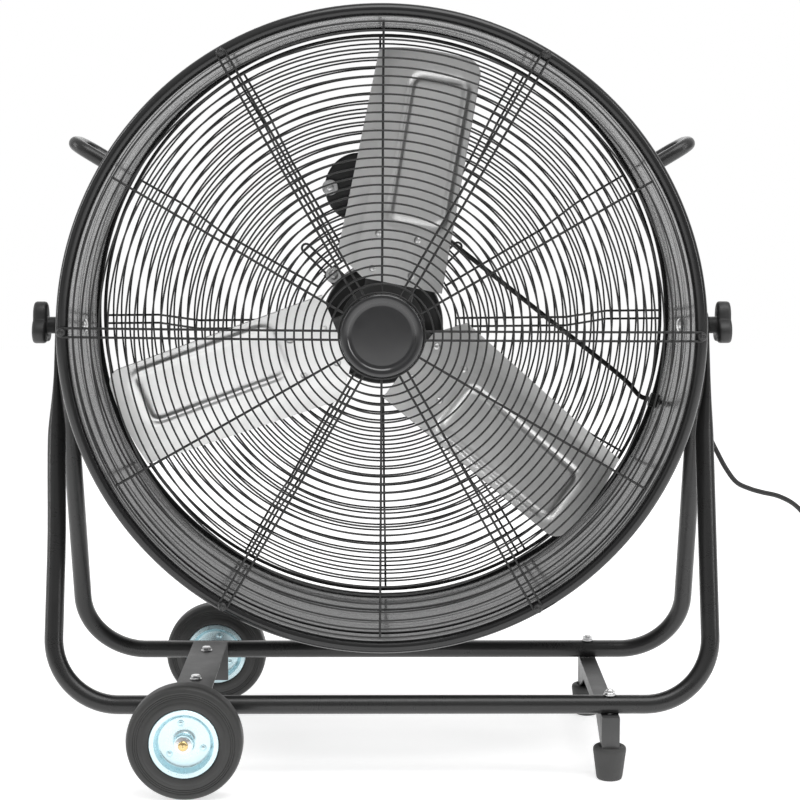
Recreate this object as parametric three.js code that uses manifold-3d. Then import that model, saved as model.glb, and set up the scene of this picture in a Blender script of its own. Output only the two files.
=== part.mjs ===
// A wheeled drum fan: a three-bladed fan in a steel drum that tilts between two bent-tube frames.
// Millimetres, +Z up, the fan blows towards -Y. The origin is on the floor under the drum's centre.
import * as THREE from 'three';
import { mergeVertices } from 'three/addons/utils/BufferGeometryUtils.js';
import Module from 'manifold-3d';

const wasm = await Module();
wasm.setup();

// ---- Driving dimensions ----
const clearance = 0.3; // between two pieces that touch
const degree = Math.PI / 180;

const drum = {
  radius: 412,
  floorGap: 167.4, // under its beads
  wall: 1.6,
  beadSection: 8.5,
  beadProud: 11, // of the wall
  frontBeadY: -147,
  rearBeadY: 149,
  ribPlaces: [-86, 56],
  ribHeight: 3.5,
  ribHalfWidth: 7,
  segments: 32,
};
const axisHeight = drum.floorGap + drum.radius + drum.beadProud;

const frontGuard = {
  ringCount: 6,
  firstRing: 55.5,
  lastRing: drum.radius - 12.7,
  ringWire: 2.5,
  spokeWire: 3.2,
  pairSpread: 5.8,
  dome: 13,
  turn: -0.4,
  screwRadius: drum.radius + 3,
  eyeReach: 6.5,
};
const screw = { shank: 3, depth: 11, washer: 8.5, washerHeight: 1.5, head: 5.5, headHeight: 4 };

const rearGuard = {
  ringCount: 5,
  firstRing: 102,
  ringWire: 2.8,
  rimWire: 6,
  spokeWire: 3.2,
  pairSpread: 5.8,
  centreY: 38,
  rimY: 150,
  slopeInner: 254,
  slopeOuter: 323,
  turn: 0.5,
  eyeInner: 86,
};

const badge = { rimHeight: 5.5, recess: 2, recessRadius: 43.5, bevel: 1.5, edge: 2.5 };

const blade = {
  count: 3,
  firstAngle: 80,
  tipRadius: drum.radius - 36,
  rootRadius: 60,
  leadingRoot: -78,
  leadingTip: -68,
  trailing: 70,
  cornerRadius: 18,
  thickness: 1.6,
  midY: -32,
  rootSlope: 0.42,
  tipSlope: 0.34,
  camber: 6,
  curl: 4,
  curlWidth: 14,
  rootStraight: 37,
  rootSlant: 0.65,
  panel: { inner: 134, tipMargin: 30, left: -26, right: 56, bevel: 6, height: 2.5 },
  rivetRows: [75, 123.5],
  rivetAcross: 26.5,
  rivetRadius: 5,
  rivetHeight: 2,
  // the blade and its arm share these lines of their grids, so that their faces lie alike
  sharedRow: 98,
  sharedColumn: 15,
};

const hub = {
  armHalfWidth: 33,
  armInner: 34,
  armOuter: 134,
  armThickness: 4,
  discRadius: 58,
  discHalf: 4,
  sleeveRadius: 18,
  sleeveLength: 20,
  nutRadius: 12,
  nutHeight: 7,
};

const motor = {
  radius: 84,
  wall: 3.5,
  frontY: 14,
  splitY: 66,
  rearY: 118,
  nose: 12,
  shaftRadius: 7,
  bearingRadius: 17,
  bearingLength: 11,
  bossWall: 4,
  rotorRadius: 45,
  runningGap: 0.6,
  coreFrontY: 38,
  coreRearY: 94,
  boltCircle: 95,
  boltRadius: 3.8,
  lugHalfWidth: 11,
  lugThickness: 5,
  sides: 16,
};
const motorScrew = { head: 6.5, headHeight: 4.5, washer: 11, washerHeight: 2.5, nutHeight: 6 };

const controlBox = { x: -31.5, z: 187, radius: 48, depth: 58, wall: 2.5, coverThickness: 3, sides: 18 };
const boxScrew = { inset: 7.5, radius: 2.5, washer: 11, washerHeight: 1.6, head: 5, headHeight: 3.4, reach: 9 };
const speedKnob = { radius: 15, height: 16, stem: 3, switchSize: 32, switchDepth: 26 };
const stemReach = 14; // of the knob's stem into the switch

const handle = { angle: 30.9, reach: drum.radius + 78, span: 100, tube: 19, bend: 26 };

const frame = {
  tube: 25,
  halfWidth: drum.radius + 25,
  baseY: 153,
  baseHeight: 99.3,
  bend: 89,
  flatThickness: 7.7,
  flatWidth: 34.8,
  flatStart: 355,
  flatEnd: 450,
  sides: 8,
};

const pivot = {
  boltRadius: 5,
  headRadius: 9,
  headHeight: 5,
  bossRadius: 18,
  bossEnd: drum.radius + 18,
  boltEnd: drum.radius + 58,
};
const knob = { collarRadius: 11.5, collarLength: 11.5, lobeReach: 32.5, waist: 19, thickness: 18 };

const wheel = {
  x: 184.3 - frame.halfWidth,
  midY: 237,
  radius: 75,
  tyreWidth: 37,
  treadWidth: 21.6,
  rimRadius: 45,
  rimWidth: 30,
  dishRadius: 34,
  dishThickness: 12,
  hubRadius: 12.5,
  hubLength: 42,
  segments: 20,
  axleRadius: 6,
  axleShoulder: 8,
  screwFlange: 9.5,
  screwHead: 6.5,
  screwHeight: 7,
};

const wheelBracket = { width: 50, plate: 3, top: 114.8, bottom: 56, bend: 5 };
const bracketBolt = { x: wheel.x - 0.8, y: 80, radius: 4, headRadius: 6.5, headHeight: 6, reach: 9 };

const footBracket = {
  x: frame.halfWidth - 135.8,
  width: 23.5,
  plate: 2.5,
  endY: 172,
  legDepth: 21,
  webDepth: 16,
  gussetInner: 85,
  legBottom: 22,
  corner: 3,
};
const foot = { y: 158, height: 45, topRadius: 22, bottomRadius: 17 };
const footBolt = { radius: 4, nutRadius: 7, nutHeight: 6 };

const cord = { diameter: 7, glandAngle: -17, glandY: 128, sides: 8, steps: 34 };
const gland = { neck: 8, flange: 10, flangeHeight: 6, reliefLength: 20, reliefTip: 5 };
const coil = {
  x: frame.halfWidth + 236,
  y: 80,
  outerRadius: 45,
  pitch: 7.5,
  turnsPerLayer: 1.875,
  floorGap: 1.3,
  climbDip: 1.4,
  lead: 9,
  tail: 36,
  stepsPerTurn: 24,
  sides: 6,
};
const plug = {
  radius: 18.5,
  bodyLength: 20,
  reliefLength: 30,
  pinRadius: 2.4,
  pinLength: 19,
  pinSpacing: 19,
};

// ---- Finishes ----
const finish = (name, colour, roughness, metalness) =>
  new THREE.MeshStandardMaterial({ name, color: colour, roughness, metalness });
const black = () => finish('black_paint', 0x2a2a2b, 0.45, 0.3);
const blackPlastic = () => finish('black_plastic', 0x1c1c1d, 0.55, 0);
const rubber = () => finish('rubber', 0x2c2c2c, 0.85, 0);
const zinc = () => finish('zinc', 0xcfe3e8, 0.3, 0.9);
const steel = () => finish('steel', 0xb9bcc0, 0.35, 0.9);
const brass = () => finish('brass', 0xc9a55a, 0.35, 0.9);
const sheetMetal = () => finish('galvanised', 0xc4c5c6, 0.4, 0.85);
const winding = () => finish('winding', 0x9c5a2c, 0.5, 0.4);
const cordSkin = () => finish('cord', 0x1a1a1a, 0.6, 0);

// ---- Building helpers ----

// Position only, shared vertices merged, empty triangles dropped and faces outward.
function tidied(geometry) {
  const bare = geometry.clone();
  for (const name of Object.keys(bare.attributes)) {
    if (name !== 'position') bare.deleteAttribute(name);
  }
  const merged = mergeVertices(bare, 1e-4);
  const old = merged.index.array;
  const kept = [];
  let volume = 0;
  const [a, b, c] = [new THREE.Vector3(), new THREE.Vector3(), new THREE.Vector3()];
  for (let i = 0; i < old.length; i += 3) {
    if (old[i] === old[i + 1] || old[i + 1] === old[i + 2] || old[i] === old[i + 2]) continue;
    kept.push(old[i], old[i + 1], old[i + 2]);
    a.fromBufferAttribute(merged.attributes.position, old[i]);
    b.fromBufferAttribute(merged.attributes.position, old[i + 1]);
    c.fromBufferAttribute(merged.attributes.position, old[i + 2]);
    volume += a.dot(b.cross(c));
  }
  if (volume < 0) kept.reverse();
  merged.setIndex(kept);
  return merged;
}

function toSolid(geometry) {
  const closed = tidied(geometry);
  const vertProperties = new Float32Array(closed.attributes.position.array);
  const triVerts = new Uint32Array(closed.index.array);
  return new wasm.Manifold(new wasm.Mesh({ numProp: 3, vertProperties, triVerts }));
}

function fromSolid(solid) {
  const mesh = solid.getMesh();
  const geometry = new THREE.BufferGeometry();
  geometry.setAttribute('position', new THREE.BufferAttribute(mesh.vertProperties, 3));
  geometry.setIndex(new THREE.BufferAttribute(mesh.triVerts, 1));
  return geometry;
}

function cut(base, tools) {
  return fromSolid(tools.reduce((solid, tool) => solid.subtract(toSolid(tool)), toSolid(base)));
}

function join(base, others) {
  return fromSolid(others.reduce((solid, other) => solid.add(toSolid(other)), toSolid(base)));
}

function piece(parent, name, geometry, material) {
  const closed = tidied(geometry);
  closed.computeVertexNormals();
  const mesh = new THREE.Mesh(closed, material);
  mesh.name = name;
  parent.add(mesh);
  return mesh;
}

// A turned form about Y: profile is a closed outline of [radius, y], or one that starts and ends at radius 0.
function turned(profile, segments) {
  const points = profile.map(([radius, y]) => new THREE.Vector2(radius, y));
  const onAxis = points[0].x === 0 && points[points.length - 1].x === 0;
  if (!onAxis) points.push(points[0].clone());
  return new THREE.LatheGeometry(points, segments);
}

const alongX = (geometry) => geometry.rotateZ(-Math.PI / 2);
const alongZ = (geometry) => geometry.rotateX(Math.PI / 2);
const atAngle = (geometry, angle) => geometry.rotateY(-angle * degree);

function rod(radius, from, to, sides) {
  return new THREE.CylinderGeometry(radius, radius, to - from, sides).translate(0, (from + to) / 2, 0);
}

function block(x0, x1, y0, y1, z0, z1) {
  const box = new THREE.BoxGeometry(x1 - x0, y1 - y0, z1 - z0);
  return box.translate((x0 + x1) / 2, (y0 + y1) / 2, (z0 + z1) / 2);
}

// An outline of [y, z] drawn along X from x0 to x1.
function drawnAlongX(outline, x0, x1) {
  const shape = new THREE.Shape(outline.map(([y, z]) => new THREE.Vector2(y, z)));
  const solid = new THREE.ExtrudeGeometry(shape, { depth: x1 - x0, bevelEnabled: false });
  const [x, y, z] = [new THREE.Vector3(1, 0, 0), new THREE.Vector3(0, 1, 0), new THREE.Vector3(0, 0, 1)];
  solid.applyMatrix4(new THREE.Matrix4().makeBasis(y, z, x));
  return solid.translate(x0, 0, 0);
}

// Rings of equally many points, joined side by side and closed at both ends.
function loft(rings) {
  const positions = [];
  const triangle = (a, b, c) => positions.push(...a.toArray(), ...b.toArray(), ...c.toArray());
  const sides = rings[0].length;
  for (let i = 0; i + 1 < rings.length; i++) {
    for (let k = 0; k < sides; k++) {
      const next = (k + 1) % sides;
      triangle(rings[i][k], rings[i][next], rings[i + 1][next]);
      triangle(rings[i][k], rings[i + 1][next], rings[i + 1][k]);
    }
  }
  const [first, last] = [rings[0], rings[rings.length - 1]];
  for (let k = 1; k + 1 < sides; k++) {
    triangle(first[0], first[k + 1], first[k]);
    triangle(last[0], last[k], last[k + 1]);
  }
  const geometry = new THREE.BufferGeometry();
  geometry.setAttribute('position', new THREE.Float32BufferAttribute(positions, 3));
  return geometry;
}

// The stations of a flat U, from one leg's tip round the base to the other's. stops are heights on the legs.
function uStations(halfWidth, bend, stops, bendSteps) {
  const half = stops.map((up) => ({ across: -halfWidth, up, along: [0, -1] }));
  for (let i = 0; i <= bendSteps; i++) {
    const turn = Math.PI + (Math.PI / 2) * (i / bendSteps);
    const across = -halfWidth + bend + bend * Math.cos(turn);
    half.push({ across, up: bend + bend * Math.sin(turn), along: [-Math.sin(turn), Math.cos(turn)] });
  }
  const other = half.map(({ across, up, along }) => ({ across: -across, up, along: [along[0], -along[1]] }));
  return [...half, ...other.reverse()];
}

// A tube round those stations. sizeAt gives its half thickness in the U's plane, its half width out of it,
// how square it is (1 is round) and how far its centre is shifted outwards.
function bentTube(stations, sides, sizeAt) {
  return loft(stations.map((station) => {
    const { thick, wide, square, shift } = sizeAt(station);
    const ring = [];
    for (let k = 0; k < sides; k++) {
      const turn = (2 * Math.PI * (k + 0.5)) / sides;
      const [c, s] = [Math.cos(turn), Math.sin(turn)];
      const a = Math.sign(c) * Math.abs(c) ** square * thick;
      const b = Math.sign(s) * Math.abs(s) ** square * wide;
      const outwards = Math.sign(station.across) * shift;
      const x = station.across + outwards - station.along[1] * a;
      ring.push(new THREE.Vector3(x, station.up + station.along[0] * a, b));
    }
    return ring;
  }));
}

// A round section drawn along a curve.
function drawnAlong(curve, radius, sides, steps) {
  const section = new THREE.Shape();
  for (let k = 0; k < sides; k++) {
    const turn = (2 * Math.PI * k) / sides;
    const [x, y] = [radius * Math.cos(turn), radius * Math.sin(turn)];
    if (k === 0) section.moveTo(x, y);
    else section.lineTo(x, y);
  }
  section.closePath();
  return new THREE.ExtrudeGeometry(section, { steps, extrudePath: curve, bevelEnabled: false });
}

// A thin plate over a grid of middle points, thickened by half to each side along Y.
function plate(grid, half) {
  const positions = [];
  const corner = ([i, j], side) => {
    const p = grid[i][j];
    return [p.x, p.y + side * half, p.z];
  };
  const quad = (a, b, c, d) => positions.push(...a, ...b, ...c, ...a, ...c, ...d);
  const [rows, columns] = [grid.length - 1, grid[0].length - 1];
  for (let i = 0; i < rows; i++) {
    for (let j = 0; j < columns; j++) {
      const loop = [[i, j], [i + 1, j], [i + 1, j + 1], [i, j + 1]];
      quad(...loop.map((at) => corner(at, -1)));
      quad(...[...loop].reverse().map((at) => corner(at, 1)));
      const open = [j === 0, i === rows - 1, j === columns - 1, i === 0];
      loop.forEach((at, k) => {
        const next = loop[(k + 1) % 4];
        if (open[k]) quad(corner(next, -1), corner(at, -1), corner(at, 1), corner(next, 1));
      });
    }
  }
  const geometry = new THREE.BufferGeometry();
  geometry.setAttribute('position', new THREE.Float32BufferAttribute(positions, 3));
  return geometry;
}

// A welded wire guard about Y, as one body: ring wires crossed by straight spokes. A spoke with a spread is a
// pair of wires, closed by a short bar (an eye) where it ends past the rings.
function wireGuard(rings, spokes, thickness, surface, arcSteps) {
  const edges = new Set();
  rings.forEach(({ radius, half }) => [radius - half, radius + half].forEach((r) => edges.add(r)));
  const [inner, outer] = [Math.min(...edges), Math.max(...edges)];
  for (const { from, to, wire } of spokes) {
    if (from < inner) [from, from + wire].forEach((r) => edges.add(r));
    if (to > outer) [to - wire, to].forEach((r) => edges.add(r));
  }
  const radii = [...edges].sort((p, q) => p - q);

  const lines = []; // edges of the columns: a spoke's angle and an offset from it, or a share of an arc
  const columns = []; // what lies after each line
  spokes.forEach((spoke, s) => {
    const w = spoke.wire / 2;
    const offsets = spoke.spread
      ? [-spoke.spread - w, -spoke.spread + w, spoke.spread - w, spoke.spread + w]
      : [-w, w];
    const kinds = spoke.spread ? ['wire', 'eye', 'wire'] : ['wire'];
    offsets.forEach((offset) => lines.push((r) => spoke.angle * degree + Math.asin(offset / r)));
    kinds.forEach((kind) => columns.push({ kind, spoke }));
    const next = spokes[(s + 1) % spokes.length];
    const reach = next.wire / 2 + (next.spread || 0);
    const nextAngle = (next.angle + (s + 1 === spokes.length ? 360 : 0)) * degree;
    const start = offsets[offsets.length - 1];
    for (let k = 1; k < arcSteps; k++) {
      lines.push((r) => {
        const [a, b] = [spoke.angle * degree + Math.asin(start / r), nextAngle - Math.asin(reach / r)];
        return a + ((b - a) * k) / arcSteps;
      });
    }
    for (let k = 0; k < arcSteps; k++) columns.push({ kind: 'arc' });
  });

  const filled = (i, j) => {
    if (i < 0 || i + 1 >= radii.length) return false;
    const middle = (radii[i] + radii[i + 1]) / 2;
    if (rings.some(({ radius, half }) => Math.abs(middle - radius) < half)) return true;
    const { kind, spoke } = columns[(j + columns.length) % columns.length];
    if (kind === 'arc' || middle < spoke.from || middle > spoke.to) return false;
    if (kind === 'wire') return true;
    const atInner = spoke.from < inner && middle < spoke.from + spoke.wire;
    const atOuter = spoke.to > outer && middle > spoke.to - spoke.wire;
    return atInner || atOuter;
  };
  const positions = [];
  const quad = (a, b, c, d) => positions.push(...a, ...b, ...c, ...a, ...c, ...d);
  const corner = ([i, j], side) => {
    const r = radii[i];
    const turn = lines[j % lines.length](r);
    return [r * Math.cos(turn), surface(r) + (side * thickness) / 2, r * Math.sin(turn)];
  };
  for (let i = 0; i + 1 < radii.length; i++) {
    for (let j = 0; j < columns.length; j++) {
      if (!filled(i, j)) continue;
      const loop = [[i, j], [i + 1, j], [i + 1, j + 1], [i, j + 1]];
      quad(...loop.map((at) => corner(at, -1)));
      quad(...[...loop].reverse().map((at) => corner(at, 1)));
      const open = [!filled(i, j - 1), !filled(i + 1, j), !filled(i, j + 1), !filled(i - 1, j)];
      loop.forEach((at, k) => {
        const next = loop[(k + 1) % 4];
        if (open[k]) quad(corner(next, -1), corner(at, -1), corner(at, 1), corner(next, 1));
      });
    }
  }
  const geometry = new THREE.BufferGeometry();
  geometry.setAttribute('position', new THREE.Float32BufferAttribute(positions, 3));
  return geometry;
}

const evenly = (first, last, count) =>
  Array.from({ length: count }, (_, i) => first + ((last - first) * i) / (count - 1));
const smooth = (t) => {
  const s = Math.min(1, Math.max(0, t));
  return s * s * (3 - 2 * s);
};

// ---- The groups that move together ----
const fan = new THREE.Group();
const stand = new THREE.Group();
const tilting = new THREE.Group(); // the drum and what it carries, about the pivot axis
tilting.position.z = axisHeight;
const spinning = new THREE.Group();
tilting.add(spinning);
fan.add(stand, tilting);

// ---- Drum ----
const beadRadius = drum.radius + drum.beadProud - drum.beadSection; // of the centre of its section
const beadFrontFace = drum.frontBeadY - drum.beadSection;
const beadInner = beadRadius - drum.beadSection;
const facet = (2 * Math.PI) / drum.segments;

// How far the drum's faceted wall is from its axis at an angle in degrees.
function wallAt(angle) {
  const turn = (((angle * degree) % facet) + facet) % facet;
  return (drum.radius * Math.cos(facet / 2)) / Math.cos(turn - facet / 2);
}

function drumShell() {
  const outerMeets = Math.acos((beadRadius - drum.radius) / drum.beadSection) / degree;
  const innerMeets = Math.acos((beadRadius - drum.radius + drum.wall) / drum.beadSection) / degree;
  const bead = (centreY, from, to) => evenly(from, to, 6).map((angle) => [
    beadRadius + drum.beadSection * Math.cos(angle * degree),
    centreY + drum.beadSection * Math.sin(angle * degree),
  ]);
  const ribs = (radius) => drum.ribPlaces.flatMap((y) => [
    [radius, y - drum.ribHalfWidth],
    [radius + drum.ribHeight, y],
    [radius, y + drum.ribHalfWidth],
  ]);
  const inside = ribs(drum.radius - drum.wall).reverse();
  const profile = [
    ...bead(drum.frontBeadY, -180 - innerMeets, 180 - outerMeets),
    ...ribs(drum.radius),
    ...bead(drum.rearBeadY, outerMeets - 180, 180 + innerMeets),
    ...inside,
  ];
  const tools = [alongX(rod(pivot.boltRadius + clearance, -drum.radius - 10, drum.radius + 10, 12))];
  const glandHole = alongX(rod(gland.neck + clearance, drum.radius - 20, drum.radius + 20, 12));
  tools.push(atAngle(glandHole, cord.glandAngle).translate(0, cord.glandY, 0));
  screwAngles.forEach((angle) => {
    const hole = rod(screw.shank + clearance, beadFrontFace - 2, beadFrontFace + screw.depth + 1, 8);
    tools.push(atAngle(hole.translate(frontGuard.screwRadius, 0, 0), angle));
  });
  return cut(turned(profile, drum.segments), tools);
}

// ---- Guards ----
const screwAngles = Array.from({ length: 6 }, (_, i) => i * 60 + frontGuard.turn);
const guardRimY = beadFrontFace - clearance - frontGuard.spokeWire / 2;

function frontGuardY(radius) {
  const share = Math.min(1, radius / frontGuard.lastRing);
  return guardRimY - frontGuard.dome * (1 - share * share);
}

function frontGuardBody() {
  const rings = evenly(frontGuard.firstRing, frontGuard.lastRing, frontGuard.ringCount)
    .map((radius) => ({ radius, half: frontGuard.ringWire / 2 }));
  const spokes = Array.from({ length: 12 }, (_, i) => ({
    angle: i * 30 + frontGuard.turn,
    wire: frontGuard.spokeWire,
    spread: i % 2 === 0 ? frontGuard.pairSpread : 0,
    from: frontGuard.firstRing,
    to: i % 2 === 0 ? frontGuard.screwRadius + frontGuard.eyeReach : frontGuard.lastRing,
  }));
  return wireGuard(rings, spokes, frontGuard.spokeWire, frontGuardY, 2);
}

function guardScrew() {
  const seat = guardRimY - frontGuard.spokeWire / 2 - clearance;
  const under = seat - screw.washerHeight;
  const top = under - screw.headHeight;
  const tip = beadFrontFace + screw.depth;
  return turned([
    [0, top],
    [screw.head * 0.8, top],
    [screw.head, under - 1],
    [screw.head, under],
    [screw.washer, under],
    [screw.washer, seat],
    [screw.shank, seat],
    [screw.shank, tip],
    [0, tip],
  ], 6);
}

function rearGuardY(radius) {
  const { slopeInner, slopeOuter, centreY, rimY } = rearGuard;
  const share = Math.min(1, Math.max(0, (radius - slopeInner) / (slopeOuter - slopeInner)));
  return centreY + (rimY - centreY) * share;
}

const rearRim = beadInner * Math.cos(facet / 2) - clearance - rearGuard.rimWire / 2;

function rearGuardBody() {
  const radii = evenly(rearGuard.firstRing, rearRim, rearGuard.ringCount);
  const rings = radii.map((radius, i) => ({
    radius,
    half: (i === radii.length - 1 ? rearGuard.rimWire : rearGuard.ringWire) / 2,
  }));
  const spokes = Array.from({ length: 8 }, (_, i) => {
    const toMotor = i % 2 === 1;
    return {
      angle: i * 45 + rearGuard.turn,
      wire: rearGuard.spokeWire,
      spread: toMotor || i % 4 === 0 ? rearGuard.pairSpread : 0,
      from: toMotor ? rearGuard.eyeInner : rearGuard.firstRing,
      to: toMotor ? radii[1] : rearRim,
    };
  });
  return wireGuard(rings, spokes, rearGuard.spokeWire, rearGuardY, 2);
}

function badgeDisc() {
  const radius = frontGuard.firstRing - frontGuard.ringWire / 2 - clearance;
  const back = frontGuardY(frontGuard.firstRing) + frontGuard.spokeWire / 2;
  const face = back - frontGuard.spokeWire - badge.rimHeight;
  return turned([
    [0, face + badge.recess],
    [badge.recessRadius, face + badge.recess],
    [badge.recessRadius + badge.bevel, face],
    [radius - badge.edge, face],
    [radius, face + badge.edge],
    [radius, back],
    [0, back],
  ], 18);
}

// ---- Rotor ----
// The blades' middle surface: u runs out along the blade, v across it from the leading to the trailing edge.
function bladeY(u, v, raised) {
  const out = (u - blade.rootRadius) / (blade.tipRadius - blade.rootRadius);
  const slope = blade.rootSlope + (blade.tipSlope - blade.rootSlope) * out;
  const arch = blade.camber * (1 - (v / blade.trailing) ** 2);
  const curl = v < blade.leadingTip + 10 ? (blade.curl * (blade.leadingTip + 10 - v)) / 20 : 0;
  return blade.midY - slope * v + arch + curl - raised;
}

function bladeSheet() {
  const { inner, tipMargin, left, right, bevel, height } = blade.panel;
  const outer = blade.tipRadius - tipMargin;
  const acrossAt = (u) => {
    const out = (u - blade.rootRadius) / (blade.tipRadius - blade.rootRadius);
    const leading = blade.leadingRoot + (blade.leadingTip - blade.leadingRoot) * out;
    const panelLines = [left, left + bevel, blade.sharedColumn, right - bevel, right];
    return [leading, leading + blade.curlWidth, ...panelLines, blade.trailing];
  };
  const rootAt = (v) => blade.rootRadius + Math.max(0, -v - blade.rootStraight) * blade.rootSlant;
  const tipAt = (v) => {
    const corner = blade.trailing - blade.cornerRadius;
    const over = Math.max(0, v - corner);
    return Math.sqrt(blade.tipRadius ** 2 - v * v)
      - (blade.cornerRadius - Math.sqrt(blade.cornerRadius ** 2 - over * over));
  };
  const between = evenly(inner + bevel, outer - bevel, 4);
  const rows = [rootAt, blade.sharedRow, inner, ...between, outer, tipAt];
  const grid = rows.map((row, i) => acrossAt(typeof row === 'number' ? row : row(0)).map((v, j) => {
    const u = typeof row === 'number' ? row : row(v);
    const raised = i >= 3 && i <= 6 && j >= 3 && j <= 5 ? height : 0;
    return new THREE.Vector3(u, bladeY(u, v, raised), v);
  }));
  const rivets = blade.rivetRows.flatMap((u) => [-1, 1].map((side) => {
    const v = side * blade.rivetAcross;
    const tilt = Math.atan((bladeY(u, v - 1, 0) - bladeY(u, v + 1, 0)) / 2);
    const rivet = rod(blade.rivetRadius, -blade.thickness / 2 - blade.rivetHeight, 0, 6);
    return rivet.rotateX(tilt).translate(u, bladeY(u, v, 0), v);
  }));
  return join(plate(grid, blade.thickness / 2), rivets);
}

function bladeArm() {
  const offset = blade.thickness / 2 + clearance + hub.armThickness / 2;
  const { left, bevel } = blade.panel;
  const rows = [hub.armInner, blade.sharedRow, hub.armOuter];
  const columns = [-hub.armHalfWidth, left, left + bevel, blade.sharedColumn, hub.armHalfWidth];
  const grid = rows.map((u) => columns.map((v) => new THREE.Vector3(u, bladeY(u, v, 0) + offset, v)));
  return plate(grid, hub.armThickness / 2);
}

// A plate is drawn with its length along X and its width along Z; in the fan v runs clockwise from the length.
const bladeTurn = (i) => blade.firstAngle + (360 / blade.count) * i;
const onFan = (geometry, i) => atAngle(geometry.scale(1, 1, -1), bladeTurn(i));

const hubY = blade.midY + blade.camber + blade.thickness / 2 + clearance + hub.armThickness / 2;

function hubSpider() {
  const disc = rod(hub.discRadius, hubY - hub.discHalf, hubY + hub.discHalf, 20);
  const sleeve = rod(hub.sleeveRadius, hubY - hub.sleeveLength, hubY + hub.discHalf, 12);
  const arms = Array.from({ length: blade.count }, (_, i) => onFan(bladeArm(), i));
  const solid = join(disc, [sleeve, ...arms]);
  const [from, to] = [hubY - 2 * hub.sleeveLength, hubY + hub.sleeveLength];
  return cut(solid, [rod(motor.shaftRadius + clearance, from, to, motor.sides)]);
}

function motorShaft() {
  const nutBack = hubY - hub.sleeveLength - clearance;
  const nutFront = nutBack - hub.nutHeight;
  const shaft = rod(motor.shaftRadius, nutFront - 2, motor.rearY - 6, motor.sides);
  return join(shaft, [rod(hub.nutRadius, nutFront, nutBack, 6)]);
}

// ---- Motor ----
const lugY = rearGuard.centreY + rearGuard.spokeWire / 2 + clearance;
const boltAngles = [45, 135, 225, 315].map((angle) => angle + rearGuard.turn);
const bearingSeat = motor.bearingRadius + clearance;

function motorHousing() {
  const { radius, wall, frontY, splitY, nose, bossWall, bearingLength } = motor;
  const back = frontY + wall;
  const shell = turned([
    [motor.shaftRadius + clearance, frontY],
    [radius - 22, frontY],
    [radius, frontY + nose],
    [radius, splitY],
    [radius - wall, splitY],
    [radius - wall, frontY + nose + 2],
    [radius - 24, back],
    [bearingSeat + bossWall, back],
    [bearingSeat + bossWall, back + bearingLength],
    [bearingSeat, back + bearingLength],
    [bearingSeat, back],
    [motor.shaftRadius + clearance, back],
  ], motor.sides);
  const lugs = boltAngles.map((angle) => atAngle(block(
    radius - wall / 2,
    motor.boltCircle + 9,
    lugY,
    lugY + motor.lugThickness,
    -motor.lugHalfWidth,
    motor.lugHalfWidth,
  ), angle));
  const holes = boltAngles.map((angle) => {
    const hole = rod(motor.boltRadius + clearance, lugY - 5, lugY + 15, 8);
    return atAngle(hole.translate(motor.boltCircle, 0, 0), angle);
  });
  return cut(join(shell, lugs), holes);
}

function motorCover() {
  const { radius, wall, splitY, rearY, bossWall, bearingLength } = motor;
  const inside = rearY - wall;
  return turned([
    [0, inside],
    [bearingSeat, inside],
    [bearingSeat, inside - bearingLength],
    [bearingSeat + bossWall, inside - bearingLength],
    [bearingSeat + bossWall, inside],
    [radius - 20, inside],
    [radius - wall, rearY - 12],
    [radius - wall, splitY + clearance],
    [radius, splitY + clearance],
    [radius, rearY - 10],
    [radius - 18, rearY],
    [0, rearY],
  ], motor.sides);
}

function bearing(from, to) {
  const inner = motor.shaftRadius + clearance;
  const outer = motor.bearingRadius;
  return turned([[inner, from], [outer, from], [outer, to], [inner, to]], motor.sides);
}

function statorRing() {
  // the rotor's corners pass the middles of the ring's faces
  const inner = (motor.rotorRadius + motor.runningGap) / Math.cos(Math.PI / motor.sides);
  const outer = motor.radius - motor.wall - clearance;
  const { coreFrontY, coreRearY } = motor;
  const outline = [[inner, coreFrontY], [outer, coreFrontY], [outer, coreRearY], [inner, coreRearY]];
  return turned(outline, motor.sides);
}

function rotorCore() {
  const inner = motor.shaftRadius + clearance;
  const { rotorRadius, coreFrontY, coreRearY } = motor;
  const [from, to] = [coreFrontY + 2, coreRearY - 2];
  return turned([[inner, from], [rotorRadius, from], [rotorRadius, to], [inner, to]], motor.sides);
}

function motorBolt() {
  const wires = rearGuard.centreY - rearGuard.spokeWire / 2 - clearance;
  const nutFrom = lugY + motor.lugThickness + clearance;
  const { head, headHeight, washer, washerHeight, nutHeight } = motorScrew;
  const under = wires - washerHeight;
  return turned([
    [0, under - headHeight],
    [head, under - headHeight],
    [head, under],
    [washer, under],
    [washer, wires],
    [motor.boltRadius, wires],
    [motor.boltRadius, nutFrom],
    [head, nutFrom],
    [head, nutFrom + nutHeight],
    [0, nutFrom + nutHeight],
  ], 7);
}

// ---- Control box ----
const boxFront = rearGuard.centreY + rearGuard.spokeWire / 2 + clearance;
const boxRear = boxFront + controlBox.depth;

const screwOut = controlBox.radius - boxScrew.inset;

// Its pieces are drawn about the axis of the box.
function boxShell() {
  const { radius, wall, sides } = controlBox;
  const floor = boxFront + wall;
  const pot = turned([
    [0, boxFront],
    [radius, boxFront],
    [radius, boxRear],
    [radius - wall, boxRear],
    [radius - wall, floor],
    [0, floor],
  ], sides);
  const hole = rod(boxScrew.radius + clearance, boxFront - 5, floor + 5, 8);
  return cut(pot, [hole.translate(-screwOut, 0, 0)]);
}

function boxCover() {
  const { radius, coverThickness, sides } = controlBox;
  const from = boxRear + clearance;
  const inner = speedKnob.stem + clearance;
  const to = from + coverThickness;
  return turned([[inner, from], [radius, from], [radius, to], [inner, to]], sides);
}

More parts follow.
